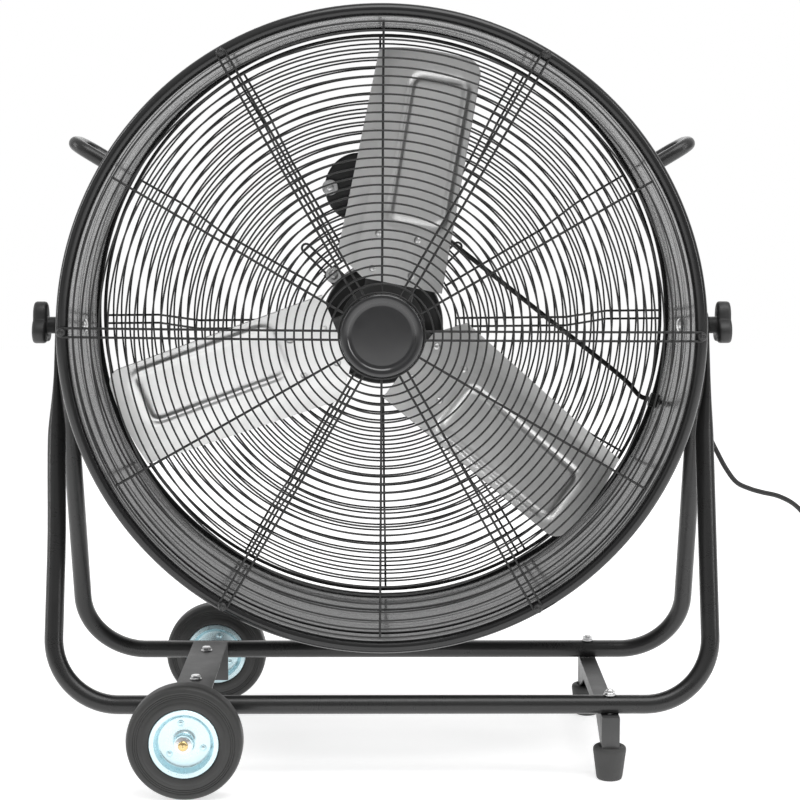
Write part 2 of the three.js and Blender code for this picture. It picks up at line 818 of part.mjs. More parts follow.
function boxScrewBody() {
  const { radius, washer, washerHeight, head, headHeight, reach } = boxScrew;
  const wires = rearGuard.centreY - rearGuard.spokeWire / 2 - clearance;
  const under = wires - washerHeight;
  return turned([
    [0, under - headHeight],
    [head * 0.7, under - headHeight],
    [head, under - 1],
    [head, under],
    [washer, under],
    [washer, wires],
    [radius, wires],
    [radius, boxFront + reach],
    [0, boxFront + reach],
  ], 8).translate(-screwOut, 0, 0);
}

function switchBody() {
  const half = speedKnob.switchSize / 2;
  const { switchDepth, stem } = speedKnob;
  const solid = block(-half, half, boxRear - switchDepth, boxRear, -half, half);
  return cut(solid, [rod(stem + clearance, boxRear - stemReach - clearance, boxRear + 5, 12)]);
}

function speedKnobBody() {
  const { radius, height, stem } = speedKnob;
  const base = boxRear + clearance + controlBox.coverThickness + clearance;
  return turned([
    [0, boxRear - stemReach],
    [stem, boxRear - stemReach],
    [stem, base],
    [radius, base],
    [radius * 0.92, base + height - 2],
    [radius * 0.8, base + height],
    [0, base + height],
  ], 12);
}

// ---- Leads inside the drum ----
const glandInner = wallAt(cord.glandAngle) - drum.wall - 8;
const glandPoint = (radius) => new THREE.Vector3(
  radius * Math.cos(cord.glandAngle * degree),
  cord.glandY,
  radius * Math.sin(cord.glandAngle * degree),
);

function supplyLead() {
  const leaves = -13.3 * degree; // round the box
  const fromBox = (out) => new THREE.Vector3(
    controlBox.x + (controlBox.radius + out) * Math.cos(leaves),
    boxFront + controlBox.depth * 0.38,
    controlBox.z + (controlBox.radius + out) * Math.sin(leaves),
  );
  const [start, end] = [fromBox(clearance), glandPoint(glandInner - clearance)];
  // shares of the way: seen from the front, and in depth
  const between = [[0.12, 0.06], [0.53, 0.365], [0.91, 0.894]].map(([across, deep]) => new THREE.Vector3(
    start.x + (end.x - start.x) * across,
    start.y + (end.y - start.y) * deep,
    start.z + (end.z - start.z) * across,
  ));
  const points = [start, fromBox(9), ...between, glandPoint(glandInner - 12), end];
  return drawnAlong(new THREE.CatmullRomCurve3(points), cord.diameter / 2, 6, 14);
}

// ---- Handles ----
function handleLoop() {
  const radius = handle.tube / 2;
  const foot0 = wallAt(handle.angle) + 2 * clearance;
  const legs = handle.reach - radius - foot0;
  const size = { thick: radius, wide: radius, square: 1, shift: 0 };
  const stations = uStations(handle.span / 2 - radius, handle.bend, [legs], 5);
  const loop = bentTube(stations, 8, () => size);
  // across becomes Y and the base of the U points outwards along X
  const basis = new THREE.Matrix4().makeBasis(
    new THREE.Vector3(0, 1, 0),
    new THREE.Vector3(-1, 0, 0),
    new THREE.Vector3(0, 0, 1),
  );
  return loop.applyMatrix4(basis).translate(handle.reach - radius, 0, 0);
}

// ---- Pivots ----
const innerFlatX = pivot.bossEnd + clearance + frame.flatThickness / 2;
const outerFlatX = innerFlatX + frame.flatThickness + clearance;
const knobStart = outerFlatX + frame.flatThickness / 2 + clearance;
const knobEnd = knobStart + knob.collarLength + knob.thickness;

function pivotBolt() {
  const inside = drum.radius * Math.cos(facet / 2) - drum.wall - clearance;
  return alongX(turned([
    [0, inside - pivot.headHeight],
    [pivot.headRadius - 2, inside - pivot.headHeight],
    [pivot.headRadius, inside],
    [pivot.boltRadius, inside],
    [pivot.boltRadius, drum.radius + clearance],
    [pivot.bossRadius, drum.radius + clearance],
    [pivot.bossRadius, pivot.bossEnd],
    [pivot.boltRadius, pivot.bossEnd],
    [pivot.boltRadius, pivot.boltEnd],
    [0, pivot.boltEnd],
  ], 10));
}

function clampKnob() {
  const lobes = new THREE.Shape();
  const steps = 24;
  for (let i = 0; i < steps; i++) {
    const turn = (2 * Math.PI * i) / steps;
    const swell = (1 + Math.cos(3 * turn)) / 2;
    const reach = knob.waist + (knob.lobeReach - knob.waist) * swell ** 0.7;
    const [y, z] = [reach * Math.sin(turn), reach * Math.cos(turn)];
    if (i === 0) lobes.moveTo(y, z);
    else lobes.lineTo(y, z);
  }
  const outline = lobes.getPoints().map((p) => [p.x, p.y]);
  const grip = drawnAlongX(outline, knobStart + knob.collarLength, knobEnd);
  const collar = alongX(rod(knob.collarRadius, knobStart, knobStart + knob.collarLength + 2, 20));
  const bore = alongX(rod(pivot.boltRadius + clearance, knobStart - 5, pivot.boltEnd + 1, 16));
  return cut(join(grip, [collar]), [bore]);
}

// ---- Frames ----
const lean = new THREE.Vector3(0, frame.baseY, axisHeight - frame.baseHeight);
const legLength = lean.length();

function frameTube(side, flatX) {
  const tipReach = frame.flatWidth / 2;
  const stops = [
    ...[0.94, 0.78, 0.5, 0].map((share) => legLength + tipReach * share),
    frame.flatEnd,
    ...[0.75, 0.5, 0.25].map((share) => frame.flatStart + (frame.flatEnd - frame.flatStart) * share),
    frame.flatStart,
  ];
  const stations = uStations(frame.halfWidth, frame.bend, stops, 6);
  const round = frame.tube / 2;
  const tube = bentTube(stations, frame.sides, ({ up }) => {
    const flat = smooth((up - frame.flatStart) / (frame.flatEnd - frame.flatStart));
    const past = Math.max(0, (up - legLength) / tipReach);
    return {
      thick: round + (frame.flatThickness / 2 - round) * flat,
      wide: (round + (tipReach - round) * flat) * Math.sqrt(1 - past * past),
      square: 1 - 0.5 * flat,
      shift: (flatX - frame.halfWidth) * flat,
    };
  });
  const up = new THREE.Vector3(0, -side * lean.y, lean.z).normalize();
  const across = new THREE.Vector3(1, 0, 0);
  tube.applyMatrix4(new THREE.Matrix4().makeBasis(across, up, across.clone().cross(up)));
  tube.translate(0, side * frame.baseY, frame.baseHeight);
  const reach = frame.halfWidth + frame.tube;
  const hole = alongX(rod(pivot.boltRadius + clearance, -reach, reach, 12));
  const tools = [hole.translate(0, 0, axisHeight)];
  const boltHole = rod(footBolt.radius + clearance, -40, 40, 10);
  tools.push(alongZ(boltHole).translate(footBracket.x, side * frame.baseY, frame.baseHeight));
  return cut(tube, tools);
}

// ---- Wheels ----
const tubeInner = frame.baseY - frame.tube / 2;
const tubeBottom = frame.baseHeight - frame.tube / 2;
const hubOuter = wheel.midY + wheel.hubLength / 2;

function tyreBody() {
  const [side, tread] = [wheel.tyreWidth / 2, wheel.treadWidth / 2];
  const inner = wheel.rimRadius + clearance;
  const half = [
    [inner, wheel.rimWidth / 2],
    [inner + 9, side - 1],
    [wheel.radius - 9, side],
    [wheel.radius - 3, side - 2],
    [wheel.radius, tread],
  ];
  const other = half.map(([radius, y]) => [radius, -y]);
  return turned([...other, ...half.reverse()], wheel.segments);
}

function rimBody() {
  const { rimRadius, rimWidth, dishRadius, dishThickness, hubRadius, hubLength } = wheel;
  const half = [
    [hubRadius, dishThickness / 2],
    [dishRadius, dishThickness / 2],
    [dishRadius + 4, rimWidth / 2 - 1],
    [rimRadius, rimWidth / 2],
  ];
  const bore = wheel.axleRadius + clearance;
  const other = half.map(([radius, y]) => [radius, -y]);
  return turned([
    [bore, -hubLength / 2],
    [hubRadius, -hubLength / 2],
    ...other,
    ...half.reverse(),
    [hubRadius, hubLength / 2],
    [bore, hubLength / 2],
  ], wheel.segments);
}

function axleBar() {
  const shoulder = wheel.midY - wheel.hubLength / 2 - clearance;
  return turned([
    [0, -hubOuter],
    [wheel.axleRadius, -hubOuter],
    [wheel.axleRadius, -shoulder],
    [wheel.axleShoulder, -shoulder],
    [wheel.axleShoulder, shoulder],
    [wheel.axleRadius, shoulder],
    [wheel.axleRadius, hubOuter],
    [0, hubOuter],
  ], 12);
}

function axleScrew() {
  const from = hubOuter + clearance;
  return turned([
    [0, from],
    [wheel.screwFlange, from],
    [wheel.screwFlange, from + 1.5],
    [wheel.screwHead, from + 1.5],
    [wheel.screwHead, from + wheel.screwHeight - 1],
    [wheel.screwHead - 1, from + wheel.screwHeight],
    [0, from + wheel.screwHeight],
  ], 12);
}

function wheelBracketBody() {
  const { width, plate: thick, top, bottom, bend } = wheelBracket;
  const outer = tubeInner - clearance;
  const half = [
    [outer, bottom],
    [outer, top - thick - bend],
    [outer - bend, top],
  ];
  const halfInside = [
    [outer - thick - bend, top - thick],
    [outer - thick, top - thick - bend],
    [outer - thick, bottom],
  ];
  const mirrored = (points) => [...points].reverse().map(([y, z]) => [-y, z]);
  const outline = [...half, ...mirrored(half), ...mirrored(halfInside), ...halfInside];
  const strap = drawnAlongX(outline, wheel.x - width / 2, wheel.x + width / 2);
  const axleHole = rod(wheel.axleShoulder + clearance, -outer - 5, outer + 5, 16);
  const tools = [axleHole.translate(wheel.x, 0, wheel.radius)];
  for (const side of [-1, 1]) {
    const hole = alongZ(rod(bracketBolt.radius + clearance, top - 10, top + 5, 10));
    tools.push(hole.translate(bracketBolt.x, side * bracketBolt.y, 0));
  }
  return cut(strap, tools);
}

// A hex bolt through the bracket's plate, which lies under Z = 0, with its nut below.
function bracketBoltBody() {
  const { radius, headRadius, headHeight, reach } = bracketBolt;
  const under = -wheelBracket.plate - clearance;
  const shank = rod(radius, under - reach, headHeight / 2, 8);
  const head = rod(headRadius, clearance, headHeight, 6);
  const nut = rod(headRadius, under - headHeight, under, 6);
  return alongZ(join(shank, [head, nut]));
}

// ---- Foot bracket ----
const webTop = tubeBottom - clearance;

function footBracketBody() {
  const { x, width, plate: thick, endY, legDepth, webDepth, gussetInner, legBottom, corner } = footBracket;
  const side = (inset) => {
    const end = endY - inset;
    const top = webTop - inset;
    const half = [
      [end, top - corner],
      [end, legBottom],
      [endY - legDepth, legBottom],
      [endY - legDepth - 4, foot.height],
      [gussetInner, webTop - webDepth],
    ];
    const otherHalf = [...half].reverse().map(([y, z]) => [-y, z]);
    return [...half, ...otherHalf, [-end + corner, top], [end - corner, top]];
  };
  const outside = drawnAlongX(side(0), x - width / 2, x + width / 2);
  const room = drawnAlongX(side(thick), x - width / 2 + thick, x + width / 2 - thick);
  const below = room.clone().translate(0, 0, -1); // so that the underside is open
  const holes = [-1, 1].map((s) => {
    const hole = alongZ(rod(footBolt.radius + clearance, webTop - 10, webTop + 5, 10));
    return hole.translate(x, s * frame.baseY, 0);
  });
  return cut(outside, [room, below, ...holes]);
}

function footCup() {
  const { height, topRadius, bottomRadius } = foot;
  const cup = alongZ(turned([
    [0, 0],
    [bottomRadius - 2, 0],
    [bottomRadius, 2],
    [topRadius, height - 6],
    [topRadius - 3, height],
    [0, height],
  ], 16));
  const { width, endY, legDepth, legBottom } = footBracket;
  const half = width / 2 + clearance;
  const slot = block(
    -half,
    half,
    endY - legDepth - 5 - foot.y,
    endY + clearance - foot.y,
    legBottom - clearance,
    height + 10,
  );
  return cut(cup, [slot]);
}

function footBoltBody() {
  const { radius, nutRadius, nutHeight } = footBolt;
  const tubeTop = frame.baseHeight + frame.tube / 2;
  const nutFrom = tubeTop + clearance;
  const under = webTop - footBracket.plate - clearance;
  const shank = rod(radius, under - 2, nutFrom + nutHeight + 2, 8);
  const nut = rod(nutRadius, nutFrom, nutFrom + nutHeight, 6);
  const head = rod(nutRadius, under - 5, under, 6);
  return alongZ(join(shank, [nut, head]));
}

// ---- Cord ----
function glandBody() {
  const outside = wallAt(cord.glandAngle) + 2 * clearance;
  const tip = outside + gland.flangeHeight + gland.reliefLength;
  const inside = wallAt(cord.glandAngle) - drum.wall - 2 * clearance;
  const solid = alongX(turned([
    [0, glandInner],
    [gland.flange, glandInner],
    [gland.flange, inside],
    [gland.neck, inside],
    [gland.neck, outside],
    [gland.flange + 1, outside],
    [gland.flange + 1, outside + gland.flangeHeight],
    [gland.neck, outside + gland.flangeHeight + 1],
    [gland.reliefTip, tip],
    [0, tip],
  ], 10));
  return { solid: atAngle(solid, cord.glandAngle).translate(0, cord.glandY, 0), tip };
}

const coilHeight = coil.floorGap + cord.diameter / 2;

function cordRoute(tip) {
  const exit = (out) => glandPoint(tip + out).add(new THREE.Vector3(0, 0, axisHeight));
  const arrival = new THREE.Vector3(coil.x - coil.lead, coil.y + coil.outerRadius, coilHeight);
  // how far out from the exit, the share of its height that is left, and the share of the way to the coil in depth
  const shown = [
    [33.5, 0.957], [50.5, 0.916], [63.5, 0.864], [79.5, 0.802], [95.5, 0.7585], [114.5, 0.739],
  ];
  const unseen = [
    [131.5, 0.728], [156.5, 0.715], [180.5, 0.687], [198.5, 0.642], [209.5, 0.575], [213.5, 0.486],
    [214.5, 0.378], [214.5, 0.27, 0.3], [215.5, 0.177, 0.6], [219.5, 0.104, 0.8], [228.5, 0.0475, 1],
  ];
  const start = exit(0);
  const between = [...shown, ...unseen].map(([out, height, deep = 0]) => new THREE.Vector3(
    start.x + out,
    start.y + (arrival.y - start.y) * deep,
    start.z * height,
  ));
  const before = (gap) => arrival.clone().add(new THREE.Vector3(-gap, 0, 0));
  const points = [exit(clearance), exit(9), ...between, before(cord.diameter + 1), before(clearance)];
  return new THREE.CatmullRomCurve3(points, false, 'centripetal');
}

// Two layers of loops: in along the floor, up a layer in half a turn, and out again on top, then a straight tail.
class CoilPath extends THREE.Curve {
  getPoint(share, target = new THREE.Vector3()) {
    const turns = 2 * coil.turnsPerLayer + 0.5;
    const round = 2 * Math.PI * (coil.outerRadius - (coil.pitch * coil.turnsPerLayer) / 2) * turns;
    const way = share * (coil.lead + round + coil.tail) - coil.lead;
    if (way < 0) return target.set(coil.x + way, coil.y + coil.outerRadius, coilHeight);
    if (way > round) {
      const out = (way - round) / coil.tail;
      const rise = plug.radius + clearance - coilHeight - coil.pitch;
      const z = coilHeight + coil.pitch + rise * smooth(out / 0.8);
      return target.set(coil.x + coil.outerRadius, coil.y - (way - round), z);
    }
    const turn = (way / round) * turns;
    const n = coil.turnsPerLayer;
    const inner = coil.outerRadius - coil.pitch * n;
    let radius = coil.outerRadius - coil.pitch * turn;
    let layer = 0;
    if (turn > n + 0.5) {
      radius = inner + coil.pitch * (turn - n - 0.5);
      layer = 1;
    } else if (turn > n) {
      const climb = (turn - n) / 0.5;
      radius = inner - coil.climbDip * Math.sin(Math.PI * climb);
      layer = smooth(climb);
    }
    const angle = Math.PI / 2 - 2 * Math.PI * turn;
    const z = coilHeight + coil.pitch * layer;
    return target.set(coil.x + radius * Math.cos(angle), coil.y + radius * Math.sin(angle), z);
  }
}

function cordCoil() {
  const path = new CoilPath();
  path.arcLengthDivisions = 1000;
  const steps = Math.round((2 * coil.turnsPerLayer + 0.5) * coil.stepsPerTurn) + 5;
  const points = path.getSpacedPoints(steps * 4);
  let least = Infinity;
  const apart = coil.stepsPerTurn * 2; // a stretch this long along the tube isn't a neighbour of itself
  for (let i = 0; i < points.length; i++) {
    for (let j = i + apart; j < points.length; j++) least = Math.min(least, points[i].distanceTo(points[j]));
  }
  console.log(`coil: least gap to itself ${(least - cord.diameter).toFixed(2)} mm`);
  console.log(`coil: length with its lead and tail ${path.getLength().toFixed(0)} mm`);
  return drawnAlong(path, cord.diameter / 2, coil.sides, steps);
}

const plugX = coil.x + coil.outerRadius;
const plugStart = coil.y - coil.tail - clearance; // the cord's end of the plug; it points along -Y
const plugHeight = plug.radius + clearance;
const plugLength = plug.reliefLength + plug.bodyLength;

function plugBody() {
  const { radius, reliefLength } = plug;
  return turned([
    [0, 0],
    [4.5, 0],
    [6, reliefLength - 8],
    [11, reliefLength - 4],
    [radius, reliefLength + 4],
    [radius, plugLength - 2],
    [radius - 2, plugLength],
    [0, plugLength],
  ], 12).rotateX(Math.PI).translate(plugX, plugStart, plugHeight);
}

function plugPin(side) {
  const from = plugLength + clearance;
  const pin = rod(plug.pinRadius, from, from + plug.pinLength, 10).rotateX(Math.PI);
  return pin.translate(plugX + (side * plug.pinSpacing) / 2, plugStart, plugHeight);
}

// ---- Assembly ----
piece(tilting, 'drum_shell', drumShell(), black());
piece(tilting, 'front_guard', frontGuardBody(), black());
piece(tilting, 'rear_guard', rearGuardBody(), black());
piece(tilting, 'badge_disc', badgeDisc(), blackPlastic());
screwAngles.forEach((angle, i) => {
  const body = atAngle(guardScrew().translate(frontGuard.screwRadius, 0, 0), angle);
  piece(tilting, `guard_screw_${i + 1}`, body, black());
});
for (const [name, angle] of [['handle_right', handle.angle], ['handle_left', 180 - handle.angle]]) {
  piece(tilting, name, atAngle(handleLoop(), angle), black());
}
piece(tilting, 'pivot_bolt_right', pivotBolt(), steel());
piece(tilting, 'pivot_bolt_left', pivotBolt().rotateZ(Math.PI), steel());

piece(tilting, 'motor_housing', motorHousing(), black());
piece(tilting, 'motor_cover', motorCover(), black());
piece(tilting, 'stator', statorRing(), winding());
const bearingFrom = motor.frontY + motor.wall + clearance;
piece(tilting, 'front_bearing', bearing(bearingFrom, bearingFrom + motor.bearingLength - 1), steel());
const bearingTo = motor.rearY - motor.wall - clearance;
piece(tilting, 'rear_bearing', bearing(bearingTo - motor.bearingLength + 1, bearingTo), steel());
boltAngles.forEach((angle, i) => {
  const bolt = motorBolt().translate(motor.boltCircle, 0, 0);
  piece(tilting, `motor_bolt_${i + 1}`, atAngle(bolt, angle), steel());
});

const controls = new THREE.Group();
controls.position.set(controlBox.x, 0, controlBox.z);
tilting.add(controls);
piece(controls, 'control_box', boxShell(), blackPlastic());
piece(controls, 'control_cover', boxCover(), blackPlastic());
piece(controls, 'switch_body', switchBody(), blackPlastic());
piece(controls, 'speed_knob', speedKnobBody(), blackPlastic());
piece(controls, 'box_screw', boxScrewBody(), steel());
piece(tilting, 'supply_lead', supplyLead(), cordSkin());
const { solid: glandSolid, tip: glandTip } = glandBody();
piece(tilting, 'cord_gland', glandSolid, blackPlastic());

piece(spinning, 'motor_shaft', motorShaft(), steel());
piece(spinning, 'rotor_core', rotorCore(), steel());
piece(spinning, 'hub_spider', hubSpider(), black());
for (let i = 0; i < blade.count; i++) {
  piece(spinning, `blade_${i + 1}`, onFan(bladeSheet(), i), sheetMetal());
}

piece(stand, 'front_frame', frameTube(-1, outerFlatX), black());
piece(stand, 'rear_frame', frameTube(1, innerFlatX), black());
piece(stand, 'wheel_bracket', wheelBracketBody(), black());
for (const [name, side] of [['bracket_bolt_front', -1], ['bracket_bolt_rear', 1]]) {
  const bolt = bracketBoltBody().translate(bracketBolt.x, side * bracketBolt.y, wheelBracket.top);
  piece(stand, name, bolt, steel());
}
piece(stand, 'wheel_axle', axleBar().translate(wheel.x, 0, wheel.radius), steel());
piece(stand, 'foot_bracket', footBracketBody(), black());
for (const [end, side] of [['front', -1], ['rear', 1]]) {
  const screwEnd = axleScrew();
  const cup = footCup();
  const tyre = tyreBody().translate(0, wheel.midY, 0);
  const rim = rimBody().translate(0, wheel.midY, 0);
  const bolt = footBoltBody().translate(footBracket.x, side * frame.baseY, 0);
  if (side < 0) [screwEnd, cup, tyre, rim].forEach((part) => part.rotateZ(Math.PI));
  piece(stand, `axle_screw_${end}`, screwEnd.translate(wheel.x, 0, wheel.radius), brass());
  piece(stand, `foot_${end}`, cup.translate(footBracket.x, side * foot.y, 0), rubber());
  piece(stand, `foot_bolt_${end}`, bolt, steel());
  const rolling = new THREE.Group();
  rolling.position.set(wheel.x, 0, wheel.radius);
  fan.add(rolling);
  piece(rolling, `tyre_${end}`, tyre, rubber());
  piece(rolling, `rim_${end}`, rim, zinc());
}
for (const [name, turn] of [['knob_right', 0], ['knob_left', Math.PI]]) {
  const turning = new THREE.Group();
  turning.position.z = axisHeight;
  turning.rotation.z = turn;
  fan.add(turning);
  piece(turning, name, clampKnob(), blackPlastic());
}

const route = cordRoute(glandTip);
piece(stand, 'power_cord', drawnAlong(route, cord.diameter / 2, cord.sides, cord.steps), cordSkin());
piece(stand, 'cord_coil', cordCoil(), cordSkin());
piece(stand, 'plug_body', plugBody(), blackPlastic());
piece(stand, 'plug_pin_1', plugPin(-1), steel());
piece(stand, 'plug_pin_2', plugPin(1), steel());
console.log(`cord: free stretch ${route.getLength().toFixed(0)} mm`);

export default fan;
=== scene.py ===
"""A wheeled drum fan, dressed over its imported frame.

The fan stands on a pale studio floor. Each sub-assembly is a class that builds its own pieces from millimetre
sizes, gives them procedural finishes and lets them ride on the body that carries them.
"""

import logging
import math
from contextlib import contextmanager
from dataclasses import dataclass
from enum import Enum
from typing import Iterator, Sequence

import bpy
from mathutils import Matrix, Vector


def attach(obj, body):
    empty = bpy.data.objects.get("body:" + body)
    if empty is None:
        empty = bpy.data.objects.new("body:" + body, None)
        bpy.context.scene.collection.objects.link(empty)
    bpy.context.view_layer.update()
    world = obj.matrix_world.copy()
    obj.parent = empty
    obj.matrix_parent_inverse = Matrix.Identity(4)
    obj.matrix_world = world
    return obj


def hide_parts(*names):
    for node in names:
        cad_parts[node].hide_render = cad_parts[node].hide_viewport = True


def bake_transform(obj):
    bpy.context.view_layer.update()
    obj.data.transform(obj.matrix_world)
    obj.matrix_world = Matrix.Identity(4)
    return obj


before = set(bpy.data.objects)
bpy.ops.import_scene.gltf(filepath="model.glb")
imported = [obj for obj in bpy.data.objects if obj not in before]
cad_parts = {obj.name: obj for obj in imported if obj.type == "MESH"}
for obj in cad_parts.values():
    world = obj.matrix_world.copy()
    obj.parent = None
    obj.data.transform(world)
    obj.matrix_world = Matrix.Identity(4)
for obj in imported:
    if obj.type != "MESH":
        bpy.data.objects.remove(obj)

logging.basicConfig(level=logging.INFO, format="%(message)s")
log = logging.getLogger("drum_fan")

MM = 0.001  # metres in a millimetre
AXIS_HEIGHT = 590.4  # of the drum's axis and pivots, mm
GLAND_ANGLE = -17.0  # of the cord's gland about the drum's axis, degrees
GLAND_Y = 128.0  # depth of the gland, mm
WHEEL_X = -252.7  # of the wheels' axle, mm
WHEEL_HEIGHT = 75.0  # of the wheels' axle, mm

Point = Sequence[float]
Colour = tuple[float, float, float]
Profile = Sequence[tuple[float, float]]
Socket = bpy.types.NodeSocket


class Body(str, Enum):
    """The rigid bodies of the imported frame."""

    STAND = "stand"
    DRUM = "drum"
    FAN = "fan"
    WHEEL_FRONT = "wheel_front"
    WHEEL_REAR = "wheel_rear"
    KNOB_LEFT = "knob_left"
    KNOB_RIGHT = "knob_right"
    SPEED_KNOB = "speed_knob"


class Grain(Enum):
    """How the fine relief of a finish is laid out."""

    EVEN = "even"
    ALONG_X = "along_x"
    TURNED = "turned"


# ---- Finishes ----


@dataclass(frozen=True)
class Finish:
    """One procedural surface.

    Attributes:
        name: Of the material.
        base: Main colour, linear.
        shade: Colour that drifts over the base in large soft patches.
        roughness: Lowest and highest roughness.
        metallic: 0 for paint, rubber and plastic, 1 for bare metal.
        grain_scale: Features of the fine relief in a metre.
        relief: Strength of the fine relief.
        relief_depth: Its depth in metres.
        patch_scale: Features of the colour drift in a metre.
        speck: Share of tiny light specks, for dust and moulding marks.
        wear: How much lighter exposed edges are.
        grain: Layout of the relief.
        centre: A point on the axis of a turned grain, in metres.
        turn: Angle of an ALONG_X grain about Y, in degrees.
        coat: Clear coat on top.
        specular: Specular level of the shader.
    """

    name: str
    base: Colour
    shade: Colour
    roughness: tuple[float, float]
    metallic: float = 0.0
    grain_scale: float = 900.0
    relief: float = 0.25
    relief_depth: float = 0.0004
    patch_scale: float = 9.0
    speck: float = 0.0
    wear: float = 0.0
    grain: Grain = Grain.EVEN
    centre: tuple[float, float, float] = (0.0, 0.0, 0.0)
    turn: float = 0.0
    coat: float = 0.0
    specular: float = 0.5


class Painter:
    """Builds each finish's material once."""

    def __init__(self) -> None:
        """Starts with no material made."""
        self.made: dict[str, bpy.types.Material] = {}

    def material(self, finish: Finish) -> bpy.types.Material:
        """Gives the material of a finish.

        Args:
            finish: The surface wanted.

        Returns:
            A node material on Object coordinates.
        """
        if finish.name not in self.made:
            self.made[finish.name] = self._build(finish)
            log.info("material %s", finish.name)
        return self.made[finish.name]

    def _build(self, finish: Finish) -> bpy.types.Material:
        """Makes the nodes of a finish.

        Args:
            finish: The surface wanted.

        Returns:
            Its new material.
        """
        material = bpy.data.materials.new(finish.name)
        material.use_nodes = True
        material.diffuse_color = (*finish.base, 1.0)
        tree = material.node_tree
        shader = tree.nodes["Principled BSDF"]
        shader.inputs["Metallic"].default_value = finish.metallic
        shader.inputs["Specular IOR Level"].default_value = finish.specular
        shader.inputs["Coat Weight"].default_value = finish.coat
        shader.inputs["Coat Roughness"].default_value = 0.12
        coordinates = tree.nodes.new("ShaderNodeTexCoord").outputs["Object"]

        patches = self._noise(tree, coordinates, finish.patch_scale, 3.0)
        colour = self._ramp(tree, patches, [(0.32, finish.base), (0.72, finish.shade)])
        if finish.speck:
            dust = self._noise(tree, coordinates, 2400.0, 1.0)
            light = tuple(min(1.0, channel + 0.25) for channel in finish.base)
            mask = self.map(tree, dust, 0.74, 0.8, 0.0, finish.speck)
            colour = self._mix(tree, mask, colour, light)
        if finish.wear:
            pointiness = tree.nodes.new("ShaderNodeNewGeometry").outputs["Pointiness"]
            edge = self.map(tree, pointiness, 0.52, 0.6, 0.0, finish.wear)
            light = tuple(min(1.0, 0.06 + 3.0 * channel) for channel in finish.base)
            colour = self._mix(tree, edge, colour, light)
        tree.links.new(colour, shader.inputs["Base Color"])

        fine_at = self._grain_coordinates(tree, coordinates, finish)
        fine = self._noise(tree, fine_at, finish.grain_scale, 4.0)
        smudges = self._noise(tree, coordinates, finish.patch_scale * 5, 2.0)
        mixed = tree.nodes.new("ShaderNodeMath")
        mixed.operation = "MULTIPLY_ADD"
        tree.links.new(fine, mixed.inputs[0])
        mixed.inputs[1].default_value = 0.5
        tree.links.new(self.map(tree, smudges, 0.0, 1.0, 0.0, 0.5), mixed.inputs[2])
        rough = self.map(tree, mixed.outputs[0], 0.3, 0.7, *finish.roughness)
        tree.links.new(rough, shader.inputs["Roughness"])

        bump = tree.nodes.new("ShaderNodeBump")
        bump.inputs["Strength"].default_value = finish.relief
        bump.inputs["Distance"].default_value = finish.relief_depth
        tree.links.new(fine, bump.inputs["Height"])
        tree.links.new(bump.outputs["Normal"], shader.inputs["Normal"])
        return material

    @staticmethod
    def _grain_coordinates(tree: bpy.types.NodeTree, coordinates: Socket, finish: Finish) -> Socket:
        """Stretches the coordinates of the fine relief along its grain.

        Args:
            tree: The node tree.
            coordinates: The object's own.
            finish: The surface wanted.

        Returns:
            The coordinates for the relief.
        """
        if finish.grain is Grain.EVEN:
            return coordinates
        mapping = tree.nodes.new("ShaderNodeMapping")
        tree.links.new(coordinates, mapping.inputs["Vector"])
        if finish.grain is Grain.ALONG_X:
            mapping.vector_type = "TEXTURE"
            mapping.inputs["Rotation"].default_value = (0.0, math.radians(-finish.turn), 0.0)
            mapping.inputs["Scale"].default_value = (30.0, 1.0, 1.0)
            return mapping.outputs["Vector"]
        mapping.inputs["Location"].default_value = tuple(-c for c in finish.centre)
        parts = tree.nodes.new("ShaderNodeSeparateXYZ")
        tree.links.new(mapping.outputs["Vector"], parts.inputs[0])
        flat = tree.nodes.new("ShaderNodeCombineXYZ")
        tree.links.new(parts.outputs["X"], flat.inputs["X"])
        tree.links.new(parts.outputs["Z"], flat.inputs["Z"])
        radius = tree.nodes.new("ShaderNodeVectorMath")
        radius.operation = "LENGTH"
        tree.links.new(flat.outputs[0], radius.inputs[0])
        turned = tree.nodes.new("ShaderNodeCombineXYZ")
        tree.links.new(radius.outputs["Value"], turned.inputs["X"])
        tree.links.new(parts.outputs["Y"], turned.inputs["Y"])
        return turned.outputs[0]

    @staticmethod
    def _noise(tree: bpy.types.NodeTree, coordinates: Socket, scale: float, detail: float) -> Socket:
        """Adds a noise.

        Args:
            tree: The node tree.
            coordinates: Where it is laid.
            scale: Its features in a metre.
            detail: Its octaves.

        Returns:
            Its value, from 0 to 1.
        """
        noise = tree.nodes.new("ShaderNodeTexNoise")
        noise.inputs["Scale"].default_value = scale
        noise.inputs["Detail"].default_value = detail
        tree.links.new(coordinates, noise.inputs["Vector"])
        return noise.outputs["Fac"]

    @staticmethod
    def _ramp(tree: bpy.types.NodeTree, value: Socket, stops: Sequence[tuple[float, Colour]]) -> Socket:
        """Turns a value into a colour between two stops.

        Args:
            tree: The node tree.
            value: From 0 to 1.
            stops: The two places with their colours.

        Returns:
            The colour.
        """
        ramp = tree.nodes.new("ShaderNodeValToRGB")
        for element, (place, colour) in zip(ramp.color_ramp.elements, stops):
            element.position = place
            element.color = (*colour, 1.0)
        tree.links.new(value, ramp.inputs["Fac"])
        return ramp.outputs["Color"]

    @staticmethod
    def map(tree: bpy.types.NodeTree, value: Socket, low: float, high: float, to_low: float, to_high: float) -> Socket:
        """Maps a value from one range to another, held at both ends.

        Args:
            tree: The node tree.
            value: To be mapped.
            low: Start of its range.
            high: End of its range.
            to_low: What the start becomes.
            to_high: What the end becomes.

        Returns:
            The mapped value.
        """
        node = tree.nodes.new("ShaderNodeMapRange")
        for name, number in (("From Min", low), ("From Max", high), ("To Min", to_low), ("To Max", to_high)):
            node.inputs[name].default_value = number
        tree.links.new(value, node.inputs["Value"])
        return node.outputs["Result"]

